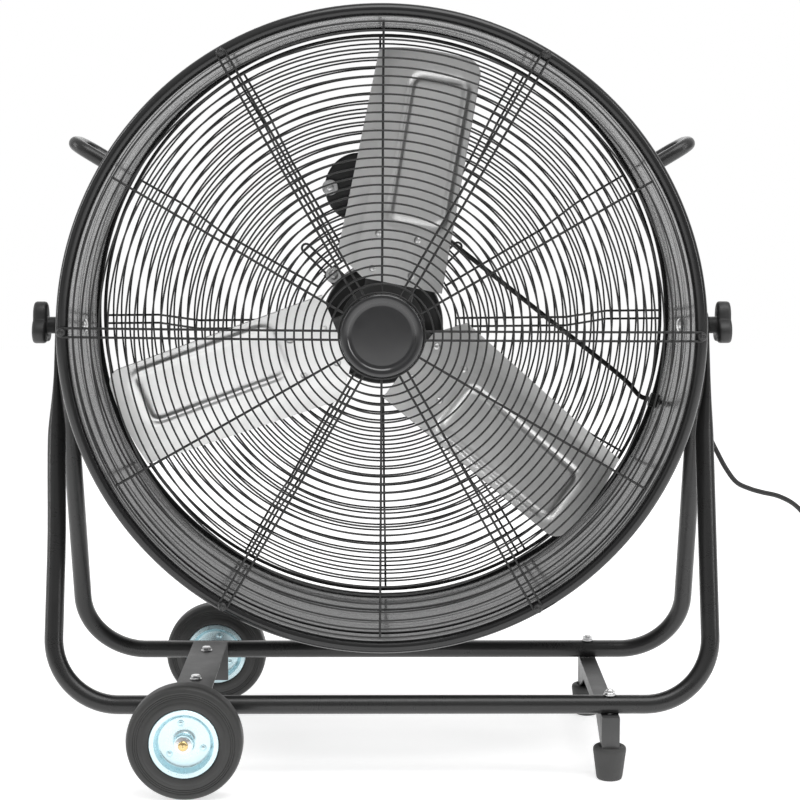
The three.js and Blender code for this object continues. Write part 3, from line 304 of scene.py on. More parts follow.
    @staticmethod
    def _mix(tree: bpy.types.NodeTree, share: Socket, colour: Socket, other: Colour) -> Socket:
        """Mixes a fixed colour in by a share.

        Args:
            tree: The node tree.
            share: Of the fixed colour.
            colour: What it is mixed into.
            other: The fixed colour.

        Returns:
            The mixed colour.
        """
        mix = tree.nodes.new("ShaderNodeMix")
        mix.data_type = "RGBA"
        tree.links.new(share, mix.inputs["Factor"])
        tree.links.new(colour, mix.inputs[6])
        mix.inputs[7].default_value = (*other, 1.0)
        return mix.outputs[2]


PAINTER = Painter()

DRUM_PAINT = Finish("drum_paint", (0.013, 0.013, 0.0135), (0.017, 0.017, 0.017), (0.13, 0.22), relief=0.1, wear=0.3)
WIRE_PAINT = Finish("guard_paint", (0.011, 0.011, 0.011), (0.016, 0.016, 0.016), (0.30, 0.42), grain_scale=1600.0)
REAR_WIRE_PAINT = Finish("rear_guard_paint", (0.013, 0.013, 0.013), (0.019, 0.019, 0.019), (0.32, 0.45))
FRAME_PAINT = Finish("frame_paint", (0.013, 0.013, 0.013), (0.018, 0.018, 0.018), (0.24, 0.36), wear=0.3, speck=0.2)
HANDLE_PAINT = Finish("handle_paint", (0.014, 0.014, 0.014), (0.020, 0.020, 0.020), (0.26, 0.38), wear=0.4)
STRAP_PAINT = Finish("bracket_paint", (0.042, 0.042, 0.042), (0.054, 0.054, 0.054), (0.38, 0.52), wear=0.4)
CHANNEL_PAINT = Finish("foot_channel_paint", (0.030, 0.030, 0.030), (0.040, 0.040, 0.040), (0.38, 0.52), wear=0.4)
MOTOR_PAINT = Finish("motor_paint", (0.014, 0.014, 0.014), (0.020, 0.020, 0.020), (0.40, 0.55), grain_scale=500.0)
HUB_PAINT = Finish("hub_paint", (0.020, 0.020, 0.020), (0.032, 0.032, 0.032), (0.35, 0.50), wear=0.4)
SCREW_PAINT = Finish("guard_screw_paint", (0.014, 0.014, 0.014), (0.022, 0.022, 0.022), (0.24, 0.36), wear=0.6)
BADGE_GLOSS = Finish("badge_gloss", (0.020, 0.020, 0.021), (0.026, 0.026, 0.027), (0.12, 0.24), relief=0.05, coat=0.5)
PLASTIC = Finish("moulded_plastic", (0.014, 0.014, 0.014), (0.021, 0.021, 0.021), (0.42, 0.58), speck=0.2)
KNOB_PLASTIC = Finish("knob_plastic", (0.018, 0.018, 0.018), (0.026, 0.026, 0.026), (0.38, 0.55), wear=0.3)
CORD_SKIN = Finish("cord_rubber", (0.012, 0.012, 0.012), (0.018, 0.018, 0.018), (0.38, 0.52), grain_scale=1500.0)
TYRE_RUBBER = Finish(
    "tyre_rubber", (0.026, 0.026, 0.0255), (0.038, 0.038, 0.037), (0.40, 0.58),
    grain_scale=1300.0, relief=0.4, speck=0.3,
)
FOOT_RUBBER = Finish("foot_rubber", (0.038, 0.038, 0.038), (0.050, 0.050, 0.049), (0.55, 0.72), relief=0.5, speck=0.3)
BOLT_ZINC = Finish("bolt_zinc", (0.70, 0.70, 0.70), (0.80, 0.80, 0.80), (0.22, 0.38), 1.0, wear=0.2)
BEARING_STEEL = Finish("bearing_steel", (0.60, 0.60, 0.61), (0.68, 0.68, 0.69), (0.12, 0.22), 1.0, relief=0.08)
SHAFT_STEEL = Finish("shaft_steel", (0.48, 0.48, 0.49), (0.56, 0.56, 0.56), (0.22, 0.36), 1.0, relief=0.1)
STATOR_CORE = Finish("stator_core", (0.20, 0.08, 0.03), (0.30, 0.13, 0.05), (0.35, 0.6), 0.4, grain_scale=600.0)
ROTOR_CORE = Finish("rotor_core", (0.30, 0.30, 0.30), (0.38, 0.38, 0.37), (0.4, 0.6), 0.8, grain_scale=700.0)
BRASS = Finish("brass", (0.70, 0.50, 0.22), (0.80, 0.62, 0.32), (0.20, 0.35), 1.0, relief=0.1, wear=0.2)
PIN_METAL = Finish("pin_metal", (0.66, 0.64, 0.58), (0.74, 0.72, 0.66), (0.15, 0.28), 1.0, relief=0.08)


def blade_finish(index: int, angle: float) -> Finish:
    """Bare sheet with its rolling marks along the blade.

    Args:
        index: Of the blade, for the material's name.
        angle: Of the blade about the axis, in degrees.

    Returns:
        The finish of that blade.
    """
    return Finish(
        f"blade_metal_{index}", (0.78, 0.78, 0.775), (0.84, 0.84, 0.835), (0.28, 0.38), 1.0,
        grain_scale=260.0, relief=0.10, relief_depth=0.0003, grain=Grain.ALONG_X, turn=angle,
    )


def rim_finish(name: str, centre: tuple[float, float, float]) -> Finish:
    """Bright, slightly blue zinc with turning marks round the wheel's axis.

    Args:
        name: Of the material.
        centre: A point on the wheel's axis, in metres.

    Returns:
        The finish of that rim.
    """
    return Finish(
        name, (0.62, 0.80, 0.85), (0.68, 0.83, 0.87), (0.24, 0.32), 0.85, grain_scale=500.0, relief=0.03,
        patch_scale=20.0, grain=Grain.TURNED, centre=centre,
    )


# ---- Shapes ----


def smooth(share: float) -> float:
    """Eases a share from 0 to 1."""
    t = min(1.0, max(0.0, share))
    return t * t * (3 - 2 * t)


def evenly(first: float, last: float, count: int) -> list[float]:
    """Evenly spaced numbers, both ends among them."""
    return [first + (last - first) * i / (count - 1) for i in range(count)]


def arc(centre: tuple[float, float], radius: float, start: float, end: float, count: int) -> list[tuple[float, float]]:
    """Points of an arc in a profile.

    Args:
        centre: Of the arc.
        radius: Of the arc.
        start: Its first angle, in degrees, 0 towards larger radii.
        end: Its last angle.
        count: How many points it has.

    Returns:
        The points, both ends among them.
    """
    return [
        (centre[0] + radius * math.cos(math.radians(a)), centre[1] + radius * math.sin(math.radians(a)))
        for a in evenly(start, end, count)
    ]


def flipped(points: Profile) -> list[tuple[float, float]]:
    """The mirror image of an outline's points, in the order that goes on from them."""
    return [(-across, up) for across, up in reversed(points)]


def select_only(*objects: bpy.types.Object) -> None:
    """Selects some objects and nothing else.

    Args:
        objects: To be selected; the first becomes active.
    """
    bpy.ops.object.select_all(action="DESELECT")
    for each in objects:
        each.select_set(True)
    bpy.context.view_layer.objects.active = objects[0]


@dataclass
class Form:
    """A mesh object being modelled, in millimetres, with its place in its mesh.

    Attributes:
        obj: The Blender object.
    """

    obj: bpy.types.Object

    def settle(self) -> "Form":
        """Puts the object's place, turn and size into its mesh and returns the form."""
        select_only(self.obj)
        bpy.ops.object.transform_apply(location=True, rotation=True, scale=True)
        return self

    def join(self, *others: "Form") -> "Form":
        """Joins other forms into this one.

        Args:
            others: To be joined.

        Returns:
            The form.
        """
        if others:
            select_only(self.obj, *(other.obj for other in others))
            bpy.ops.object.join()
        return self

    def moved(self, x: float = 0.0, y: float = 0.0, z: float = 0.0) -> "Form":
        """Moves the form and returns it."""
        self.obj.location = (x, y, z)
        return self.settle()

    def turned(self, axis: str, degrees: float) -> "Form":
        """Turns the form about an axis through the origin and returns it."""
        self.obj.rotation_euler["XYZ".index(axis)] = math.radians(degrees)
        return self.settle()

    def to_angle(self, degrees: float) -> "Form":
        """Turns +X to this angle in the drum's plane, seen from the front, and returns the form."""
        return self.turned("Y", -degrees)

    def along_x(self) -> "Form":
        """Lays a form that stands along Y along X."""
        return self.turned("Z", -90)

    def along_z(self) -> "Form":
        """Lays a form that stands along Y along Z."""
        return self.turned("X", 90)

    def copy(self) -> "Form":
        """Gives a copy of the form with its own mesh."""
        select_only(self.obj)
        bpy.ops.object.duplicate(linked=False)
        return Form(bpy.context.view_layer.objects.active)

    def modified(self, kind: str, **settings: float | str | int | bool) -> "Form":
        """Applies a modifier.

        Args:
            kind: Of modifier, in Blender's word.
            settings: Its values.

        Returns:
            The form.
        """
        select_only(self.obj)
        modifier = self.obj.modifiers.new(kind, kind)
        for name, value in settings.items():
            setattr(modifier, name, value)
        bpy.ops.object.modifier_apply(modifier=modifier.name)
        return self


def added() -> Form:
    """Gives the primitive that was just added, with its place in its mesh."""
    return Form(bpy.context.view_layer.objects.active).settle()


@contextmanager
def editing(form: Form) -> Iterator[None]:
    """Opens edit mode on a form, with all of it selected.

    Args:
        form: To be edited.

    Yields:
        Nothing, while edit mode is open.
    """
    select_only(form.obj)
    bpy.ops.object.mode_set(mode="EDIT")
    bpy.ops.mesh.select_mode(type="VERT")
    bpy.ops.mesh.select_all(action="SELECT")
    yield
    bpy.ops.object.mode_set(mode="OBJECT")


def close_up() -> None:
    """In edit mode, merges doubled points, fills open ends and turns every face outwards."""
    bpy.ops.mesh.select_all(action="SELECT")
    bpy.ops.mesh.remove_doubles(threshold=0.002)
    bpy.ops.mesh.fill_holes(sides=0)
    bpy.ops.mesh.select_all(action="SELECT")
    bpy.ops.mesh.normals_make_consistent(inside=False)


def repeated(form: Form, count: int) -> list[Form]:
    """Gives a form and as many copies as make up the count."""
    return [*(form.copy() for _ in range(count - 1)), form]


def gathered(forms: Sequence[Form]) -> Form:
    """Joins forms into the first of them."""
    return forms[0].join(*forms[1:])


def trace(stops: Sequence[Point]) -> Form:
    """Draws a line of edges: a plane is merged to one point, which is extruded from stop to stop.

    Args:
        stops: The points of the line.

    Returns:
        The line.
    """
    places = [Vector(stop) for stop in stops]
    bpy.ops.mesh.primitive_plane_add(size=1.0)
    form = added()
    with editing(form):
        bpy.ops.mesh.merge(type="CENTER")
        bpy.ops.transform.translate(value=places[0])
        for here, there in zip(places, places[1:]):
            bpy.ops.mesh.extrude_vertices_move(TRANSFORM_OT_translate={"value": there - here})
    return form


def revolve(profile: Profile, segments: int = 96) -> Form:
    """Spins a profile of (radius, y) about Y.

    Args:
        profile: Either a closed outline, or one that starts and ends at radius 0.
        segments: Steps round.

    Returns:
        The closed form.
    """
    line = [(radius, y, 0.0) for radius, y in profile]
    if profile[0][0] or profile[-1][0]:
        line.append(line[0])
    form = trace(line)
    with editing(form):
        bpy.ops.mesh.spin(steps=segments, angle=math.tau, center=(0, 0, 0), axis=(0, 1, 0))
        close_up()
    return form


def tube(points: Sequence[Point], radius: float, sides: int = 12) -> Form:
    """A round section along a line, with capped ends.

    Args:
        points: The centreline.
        radius: Of the section.
        sides: Of the section, an even number.

    Returns:
        The form.
    """
    bpy.ops.curve.primitive_nurbs_path_add()
    line = bpy.context.view_layer.objects.active
    line.data.splines.clear()
    spline = line.data.splines.new("POLY")
    spline.points.add(len(points) - 1)
    for stop, place in zip(spline.points, points):
        stop.co = (*place, 1.0)
    line.data.dimensions = "3D"
    line.data.bevel_depth = radius
    line.data.bevel_resolution = sides // 2 - 2
    bpy.ops.object.convert(target="MESH")
    form = added()
    with editing(form):
        close_up()
    return form


def skin(rows: Sequence[Sequence[Point]], around: bool = False) -> Form:
    """Lays a grid on rows of points.

    Args:
        rows: Of equally many points.
        around: Whether each row closes on itself, which makes a tube with capped ends.

    Returns:
        The form, which is one open sheet unless it goes around.
    """
    across = len(rows[0]) + int(around)
    bpy.ops.mesh.primitive_grid_add(x_subdivisions=across - 1, y_subdivisions=len(rows) - 1, size=1.0)
    form = added()
    places = [row[k % len(row)] for row in rows for k in range(across)]
    for vertex, place in zip(form.obj.data.vertices, places, strict=True):
        vertex.co = place
    if around:
        with editing(form):
            close_up()
    return form


def hoop(radius: float, y: float, wire: float, segments: int = 160, sides: int = 8) -> Form:
    """A wire ring about Y of this diameter of wire."""
    bpy.ops.mesh.primitive_torus_add(
        location=(0, y, 0), rotation=(math.pi / 2, 0, 0), major_segments=segments, minor_segments=sides,
        major_radius=radius, minor_radius=wire / 2,
    )
    return added()


def block(x0: float, x1: float, y0: float, y1: float, z0: float, z1: float) -> Form:
    """A box between two corners."""
    middle = ((x0 + x1) / 2, (y0 + y1) / 2, (z0 + z1) / 2)
    bpy.ops.mesh.primitive_cube_add(size=1.0, location=middle, scale=(x1 - x0, y1 - y0, z1 - z0))
    return added()


def prism(outline: Sequence[tuple[float, float]], y0: float, y1: float) -> Form:
    """A plate with a given outline.

    Args:
        outline: Its points (x, z), in order.
        y0: Where the outline is drawn and filled.
        y1: How far it is extruded.

    Returns:
        The closed form.
    """
    line = [(x, y0, z) for x, z in outline]
    form = trace([*line, line[0]])
    with editing(form):
        bpy.ops.mesh.remove_doubles(threshold=0.002)
        bpy.ops.mesh.edge_face_add()
        bpy.ops.mesh.extrude_region_move(TRANSFORM_OT_translate={"value": (0, y1 - y0, 0)})
        close_up()
    return form


def hexagon(across: float, y0: float, y1: float) -> Form:
    """A hexagonal nut or head about Y with chamfered corners.

    Args:
        across: Its radius at the corners.
        y0: Its front face.
        y1: Its rear face.

    Returns:
        The closed form.
    """
    chamfer = min(1.2, (y1 - y0) / 4)
    rings = [(across * 0.88, y0), (across, y0 + chamfer), (across, y1 - chamfer), (across * 0.88, y1)]
    return revolve([(0, y0), *rings, (0, y1)], 6)


def cross_head(radius: float, y_top: float, height: float) -> Form:
    """A domed screw head towards -Y with a cross slot.

    Args:
        radius: Of the head.
        y_top: Where its top lies.
        height: Of the head.

    Returns:
        The form.
    """
    dome = [(0.0, y_top + 1.0), (radius * 0.12, y_top + 1.0), (radius * 0.16, y_top)]
    dome += [(radius * math.sin(a), y_top + height * 0.55 * (1 - math.cos(a))) for a in evenly(0.35, 1.57, 7)]
    head = revolve([*dome, (radius, y_top + height), (0, y_top + height)], 32)
    slots = []
    for turn in (45, 135):
        slot = block(-radius * 0.55, radius * 0.55, y_top - 0.15, y_top + 0.5, -0.5, 0.5)
        slots.append(slot.turned("Y", turn))
    return head.join(*slots)


class Maker:
    """Turns forms into Blender pieces that ride on their bodies."""

    def __init__(self) -> None:
        """Starts the count of pieces."""
        self.count = 0

    def piece(
        self,
        name: str,
        form: Form,
        finish: Finish,
        body: Body,
        nodes: Sequence[str] = (),
        sharp: float = 35.0,
        bevel: float = 0.0,
        bevel_angle: float = 30.0,
        rides: bool = True,
    ) -> bpy.types.Object:
        """Makes a finished piece.

        Args:
            name: Of the piece.
            form: Its shape, in millimetres and in its place.
            finish: Its surface.
            body: What it moves with.
            nodes: The CAD nodes that it stands for.
            sharp: Edges turning more than this many degrees stay sharp.
            bevel: Width of the rounding of sharp edges, in millimetres.
            bevel_angle: Edges turning more than this many degrees are rounded.
            rides: False for a piece that runs across a joint, which is then left on no body.

        Returns:
            The Blender object.
        """
        if bevel:
            form.modified("BEVEL", width=bevel, segments=2, limit_method="ANGLE", angle_limit=math.radians(bevel_angle))
        made = form.obj
        made.scale = (MM, MM, MM)
        form.settle()
        bpy.ops.object.shade_smooth_by_angle(angle=math.radians(sharp))
        made.name = made.data.name = name
        made.data.materials.clear()
        made.data.materials.append(PAINTER.material(finish))
        if rides:
            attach(made, body.value)
        if nodes:
            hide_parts(*nodes)
        self.count += 1
        log.info("piece %-26s %6d faces on %s", name, len(made.data.polygons), body.value)
        return made


MAKER = Maker()


def keep_node(node: str, finish: Finish) -> None:
    """Gives a carried-over CAD node its finish.

    Args:
        node: Its name.
        finish: Its surface.
    """
    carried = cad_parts[node]
    for index in range(max(1, len(carried.data.materials))):
        if index < len(carried.data.materials):
            carried.data.materials[index] = PAINTER.material(finish)
        else:
            carried.data.materials.append(PAINTER.material(finish))
    log.info("node  %-26s keeps its shape", node)


# ---- Studio ----


@dataclass(frozen=True)
class Studio:
    """Camera, lights and floor.

    Attributes:
        camera_at: Of the photograph's camera, in metres.
        pitch: How far it looks down, in degrees.
        yaw: How far it looks towards +X, in radians.
        lens: Focal length in millimetres on a 36 mm sensor.
        dim: Level of the room in front of the fan, seen in gloss.
        overhead: Added to it overhead.
        overhead_edge: Upward share of a direction where that starts and is full.
        patch: Added to it in the paler part of the room.
        patch_towards: Direction of that part.
        patch_edge: Likeness to that direction where the patch starts and is full.
        backdrop_edge: Rearward share of a direction where the white backdrop starts and is full.
        even: Level of the world on dull surfaces.
        floor_glow: Of the floor, plain and in gloss.
    """

    camera_at: tuple[float, float, float] = (0.0132, -2.7350, 0.8111)
    pitch: float = 6.76
    yaw: float = 0.004
    lens: float = 90.03
    dim: float = 0.19
    overhead: float = 0.36
    overhead_edge: tuple[float, float] = (0.1, 0.6)
    patch: float = 0.40
    patch_towards: tuple[float, float, float] = (-0.70, -0.70, 0.12)
    patch_edge: tuple[float, float] = (0.92, 0.995)
    backdrop_edge: tuple[float, float] = (0.2, 0.9)
    even: float = 0.42
    floor_glow: tuple[float, float] = (0.62, 0.85)

    def build(self) -> None:
        """Makes the camera, the lights, the world and the floor."""
        self._camera()
        self._world()
        self._floor()
        self._softbox("key_top", (0.5, -1.2, 3.2), (0.0, 0.0, 0.5), (2.6, 1.6), 46.0)
        self._softbox("strip_left", (-3.0, -0.1, 1.6), (0.0, 0.0, 0.6), (0.5, 2.4), 24.0)
        self._softbox("strip_right", (2.8, -1.2, 1.8), (0.0, 0.0, 0.7), (0.5, 2.4), 20.0)
        self._softbox("rear_fill", (0.2, 2.8, 2.2), (0.0, 0.0, 0.6), (2.4, 1.4), 12.0)
        scene = bpy.context.scene
        scene.view_settings.view_transform = "Standard"
        scene.view_settings.look = "None"

    def _camera(self) -> None:
        """Puts the camera at the photograph's viewpoint."""
        data = bpy.data.cameras.new("photo_camera")
        data.lens = self.lens
        data.sensor_width = 36.0
        data.clip_end = 50.0
        camera = bpy.data.objects.new("photo_camera", data)
        camera.location = self.camera_at
        camera.rotation_euler = (math.radians(90.0 - self.pitch), 0.0, -self.yaw)
        bpy.context.scene.collection.objects.link(camera)
        bpy.context.scene.camera = camera

    def _world(self) -> None:
        """A white backdrop behind the fan and a dim room in front of it, which shows in gloss alone."""
        world = bpy.data.worlds.new("studio")
        world.use_nodes = True
        bpy.context.scene.world = world
        tree = world.node_tree
        tree.nodes.clear()
        link = tree.links.new
        path = tree.nodes.new("ShaderNodeLightPath").outputs
        direction = tree.nodes.new("ShaderNodeTexCoord").outputs["Generated"]
        parts = tree.nodes.new("ShaderNodeSeparateXYZ")
        link(direction, parts.inputs[0])
        facing = tree.nodes.new("ShaderNodeVectorMath")
        facing.operation = "DOT_PRODUCT"
        link(direction, facing.inputs[0])
        facing.inputs[1].default_value = self.patch_towards
        above = Painter.map(tree, parts.outputs["Z"], *self.overhead_edge, self.dim, self.dim + self.overhead)
        patch = Painter.map(tree, facing.outputs["Value"], *self.patch_edge, 0.0, self.patch)
        front = tree.nodes.new("ShaderNodeMath")
        link(above, front.inputs[0])
        link(patch, front.inputs[1])
        behind = Painter.map(tree, parts.outputs["Y"], *self.backdrop_edge, 0.0, 1.0)
        gloss = self._either(tree, behind, front.outputs[0], 1.0)
        dull_or_gloss = self._either(tree, path["Is Glossy Ray"], self.even, gloss)
        level = self._either(tree, path["Is Camera Ray"], dull_or_gloss, 1.0)
        around = tree.nodes.new("ShaderNodeBackground")
        link(level, around.inputs["Strength"])
        output = tree.nodes.new("ShaderNodeOutputWorld")
        link(around.outputs[0], output.inputs["Surface"])
        around.inputs["Color"].default_value = (1.0, 1.0, 1.0, 1.0)

    @staticmethod
    def _either(tree: bpy.types.NodeTree, share: Socket, low: Socket | float, high: Socket | float) -> Socket:
        """Mixes two levels.

        Args:
            tree: The node tree.
            share: Of the second level.
            low: The first level, a socket or a number.
            high: The second level, a socket or a number.

        Returns:
            The mixed level.
        """
        mix = tree.nodes.new("ShaderNodeMix")
        tree.links.new(share, mix.inputs[0])
        for place, level in ((2, low), (3, high)):
            if isinstance(level, float):
                mix.inputs[place].default_value = level
            else:
                tree.links.new(level, mix.inputs[place])
        return mix.outputs[0]

    def _floor(self) -> None:
        """A pale floor that glows a little, and more in gloss."""
        bpy.ops.mesh.primitive_plane_add(size=12.0)
        floor = bpy.context.view_layer.objects.active
        floor.name = "floor"
        material = bpy.data.materials.new("floor_pale")
        material.use_nodes = True
        tree = material.node_tree
        shader = tree.nodes["Principled BSDF"]
        shader.inputs["Base Color"].default_value = (0.86, 0.86, 0.86, 1.0)
        shader.inputs["Roughness"].default_value = 0.9
        shader.inputs["Specular IOR Level"].default_value = 0.1
        shader.inputs["Emission Color"].default_value = (1.0, 1.0, 1.0, 1.0)
        path = tree.nodes.new("ShaderNodeLightPath").outputs
        glow = Painter.map(tree, path["Is Glossy Ray"], 0.0, 1.0, *self.floor_glow)
        tree.links.new(glow, shader.inputs["Emission Strength"])
        floor.data.materials.append(material)

    @staticmethod
    def _softbox(name: str, at: Point, towards: Point, size: tuple[float, float], watts: float) -> None:
        """Makes a soft rectangular lamp.

        Args:
            name: Of the lamp.
            at: Its place, in metres.
            towards: What it points at.
            size: Its width and height, in metres.
            watts: Its power.
        """
        data = bpy.data.lights.new(name, "AREA")
        data.shape = "RECTANGLE"
        data.size, data.size_y = size
        data.energy = watts
        light = bpy.data.objects.new(name, data)
        light.location = at
        light.rotation_euler = (Vector(towards) - Vector(at)).to_track_quat("-Z", "Y").to_euler()
        bpy.context.scene.collection.objects.link(light)


# ---- Cord ----


@dataclass(frozen=True)
class Coil:
    """The put-away length of the cord, as two layers of loops."""

    x: float = 673.0
    y: float = 80.0
    outer_radius: float = 45.0
    pitch: float = 7.5
    turns_per_layer: float = 1.875
    floor_gap: float = 1.3
    climb_dip: float = 1.4
    lead: float = 9.0
    tail: float = 36.0


@dataclass(frozen=True)
class Cord:
    """The mains lead from the drum's gland to its plug.

    Attributes:
        diameter: Of the sheath.
        gland_angle: Of the gland about the drum's axis.
        gland_y: Depth of the gland.
        gland_tip: Radius at which the lead leaves its strain relief.
        coil: The rest of the lead.
        plug_radius: Of the plug's grip.
    """

    diameter: float = 7.0
    gland_angle: float = GLAND_ANGLE
    gland_y: float = GLAND_Y
    gland_tip: float = 438.0
    coil: Coil = Coil()
    plug_radius: float = 18.5

    SHOWN = ((451, 128, 443), (468, 128, 424), (481, 128, 400), (497, 128, 371), (513, 128, 351), (532, 128, 342))
    UNSEEN = (
        (549, 128, 337), (574, 128, 331), (598, 128, 318), (616, 128, 297), (627, 128, 266), (631, 128, 225),
        (632, 128, 175), (632, 127, 125), (633, 126, 82), (637, 125.5, 48), (646, 125, 22),
    )

    def exit_point(self, out: float) -> Vector:
        """A point on the gland's axis.

        Args:
            out: How far past its tip.

        Returns:
            The point.
        """
        turn = math.radians(self.gland_angle)
        radius = self.gland_tip + out
        return Vector((radius * math.cos(turn), self.gland_y, AXIS_HEIGHT + radius * math.sin(turn)))

    def stretch(self) -> list[Vector]:
        """The uncoiled part of the centreline."""
        height = self.coil.floor_gap + self.diameter / 2
        arrival = Vector((self.coil.x - self.coil.lead, self.coil.y + self.coil.outer_radius, height))
        stops = [self.exit_point(0.3), self.exit_point(9), *map(Vector, self.SHOWN), *map(Vector, self.UNSEEN)]
        stops += [arrival - Vector((self.diameter + 1, 0, 0)), arrival]
        return through(stops, 8)

    def loops(self) -> list[Vector]:
        """The coiled part of the centreline, then its tail to the plug."""
        c = self.coil
        height = c.floor_gap + self.diameter / 2
        turns = 2 * c.turns_per_layer + 0.5
        inner = c.outer_radius - c.pitch * c.turns_per_layer
        points = []
        for turn in evenly(0, turns, 150):
            radius, layer = c.outer_radius - c.pitch * turn, 0.0
            if turn > c.turns_per_layer + 0.5:
                radius, layer = inner + c.pitch * (turn - c.turns_per_layer - 0.5), 1.0
            elif turn > c.turns_per_layer:
                climb = (turn - c.turns_per_layer) / 0.5
                radius, layer = inner - c.climb_dip * math.sin(math.pi * climb), smooth(climb)
            angle = math.pi / 2 - 2 * math.pi * turn
            at = (c.x + radius * math.cos(angle), c.y + radius * math.sin(angle), height + c.pitch * layer)
            points.append(Vector(at))
        rise = self.plug_radius + 0.3 - height - c.pitch
        for out in evenly(0.1, 1.0, 10):
            z = height + c.pitch + rise * smooth(out / 0.8)
            points.append(Vector((c.x + c.outer_radius, c.y - c.tail * out, z)))
        return points

    def build(self) -> None:
        line = self.stretch() + self.loops()
        lead = MAKER.piece(
            "mains_lead", tube(line, self.diameter / 2, 14), CORD_SKIN, Body.STAND,
            ["power_cord", "cord_coil"], sharp=60, rides=False,
        )
        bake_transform(lead)
        plug, pins = self._plug()
        self._gland()

    def _plug(self) -> tuple[bpy.types.Object, list[bpy.types.Object]]:
        """Makes the plug.

        Returns:
            Its grip, and its two pins.
        """
        r = self.plug_radius
        relief = [(0, 0), (4.3, 0)]
        for k in range(5):  # the relief's rings
            y, ring, neck = 3 + 5 * k, 4.9 + 0.25 * k, 4.3 + 0.25 * k
            relief += [(ring, y), (ring, y + 2.6), (neck, y + 3), (neck, y + 4.6)]
        grip = [(11, 27), (r - 1.5, 32), (r, 35.5)]
        ribs = [(r - (0.7 if k % 2 else 0.0), 37 + k) for k in range(8)]
        face = [(r, 46), (r, 48.4), (r - 1.6, 50), (0, 50)]
        body = revolve([*relief, *grip, *ribs, *face], 48)
        c = self.coil
        start = (c.x + c.outer_radius, c.y - c.tail - 0.3, r + 0.3)
        plug = MAKER.piece(
            "plug_grip", body.turned("X", 180).moved(*start), PLASTIC, Body.STAND, ["plug_body"]
        )
        pins = []
        for index, side in enumerate((-1, 1), 1):
            pin = revolve([(0, 50.3), (2.4, 50.3), (2.4, 66.5), (1.6, 69), (0, 69.3)], 20).turned("X", 180)
            pin.moved(start[0] + side * 9.5, start[1], start[2])
            pins.append(
                MAKER.piece(f"plug_prong_{index}", pin, PIN_METAL, Body.STAND, [f"plug_pin_{index}"])
            )
        return plug, pins

    def _gland(self) -> None:
        """Makes the gland with its ringed strain relief."""
        outside = self.gland_tip - 26
        profile = [(0, outside - 10), (10, outside - 10), (10, outside - 3), (7.9, outside - 3), (7.9, outside)]
        profile += [(10.4, outside), (11, outside + 0.8), (11, outside + 5.4), (8, outside + 7)]
        for k in range(5):
            y, r = outside + 8 + 3.4 * k, 7.6 - 0.5 * k
            profile += [(r, y), (r, y + 2), (r - 0.8, y + 2.3), (r - 0.8, y + 3.1)]
        profile += [(4.6, outside + 25.4), (4.2, outside + 26), (0, outside + 26)]
        gland = revolve(profile, 40).along_x().to_angle(self.gland_angle).moved(0, self.gland_y, AXIS_HEIGHT)
        MAKER.piece("cord_relief", gland, PLASTIC, Body.DRUM, ["cord_gland"])


def through(stops: Sequence[Vector], steps: int) -> list[Vector]:
    """A centripetal spline through points.

    Args:
        stops: The points.
        steps: Between each two of them.

    Returns:
        Its points, both ends among them.
    """
    ends = [2 * stops[0] - stops[1], *stops, 2 * stops[-1] - stops[-2]]
    out = [stops[0]]
    for p0, p1, p2, p3 in zip(ends, ends[1:], ends[2:], ends[3:]):
        t0 = 0.0
        t1 = t0 + math.sqrt((p1 - p0).length)
        t2 = t1 + math.sqrt((p2 - p1).length)
        t3 = t2 + math.sqrt((p3 - p2).length)
        for k in range(1, steps + 1):
            t = t1 + (t2 - t1) * k / steps
            a1 = p0.lerp(p1, (t - t0) / (t1 - t0))
            a2 = p1.lerp(p2, (t - t1) / (t2 - t1))
            a3 = p2.lerp(p3, (t - t2) / (t3 - t2))
            b1 = a1.lerp(a2, (t - t0) / (t2 - t0))
            b2 = a2.lerp(a3, (t - t1) / (t3 - t1))
            out.append(b1.lerp(b2, (t - t1) / (t2 - t1)))
    return out


# ---- Drum ----


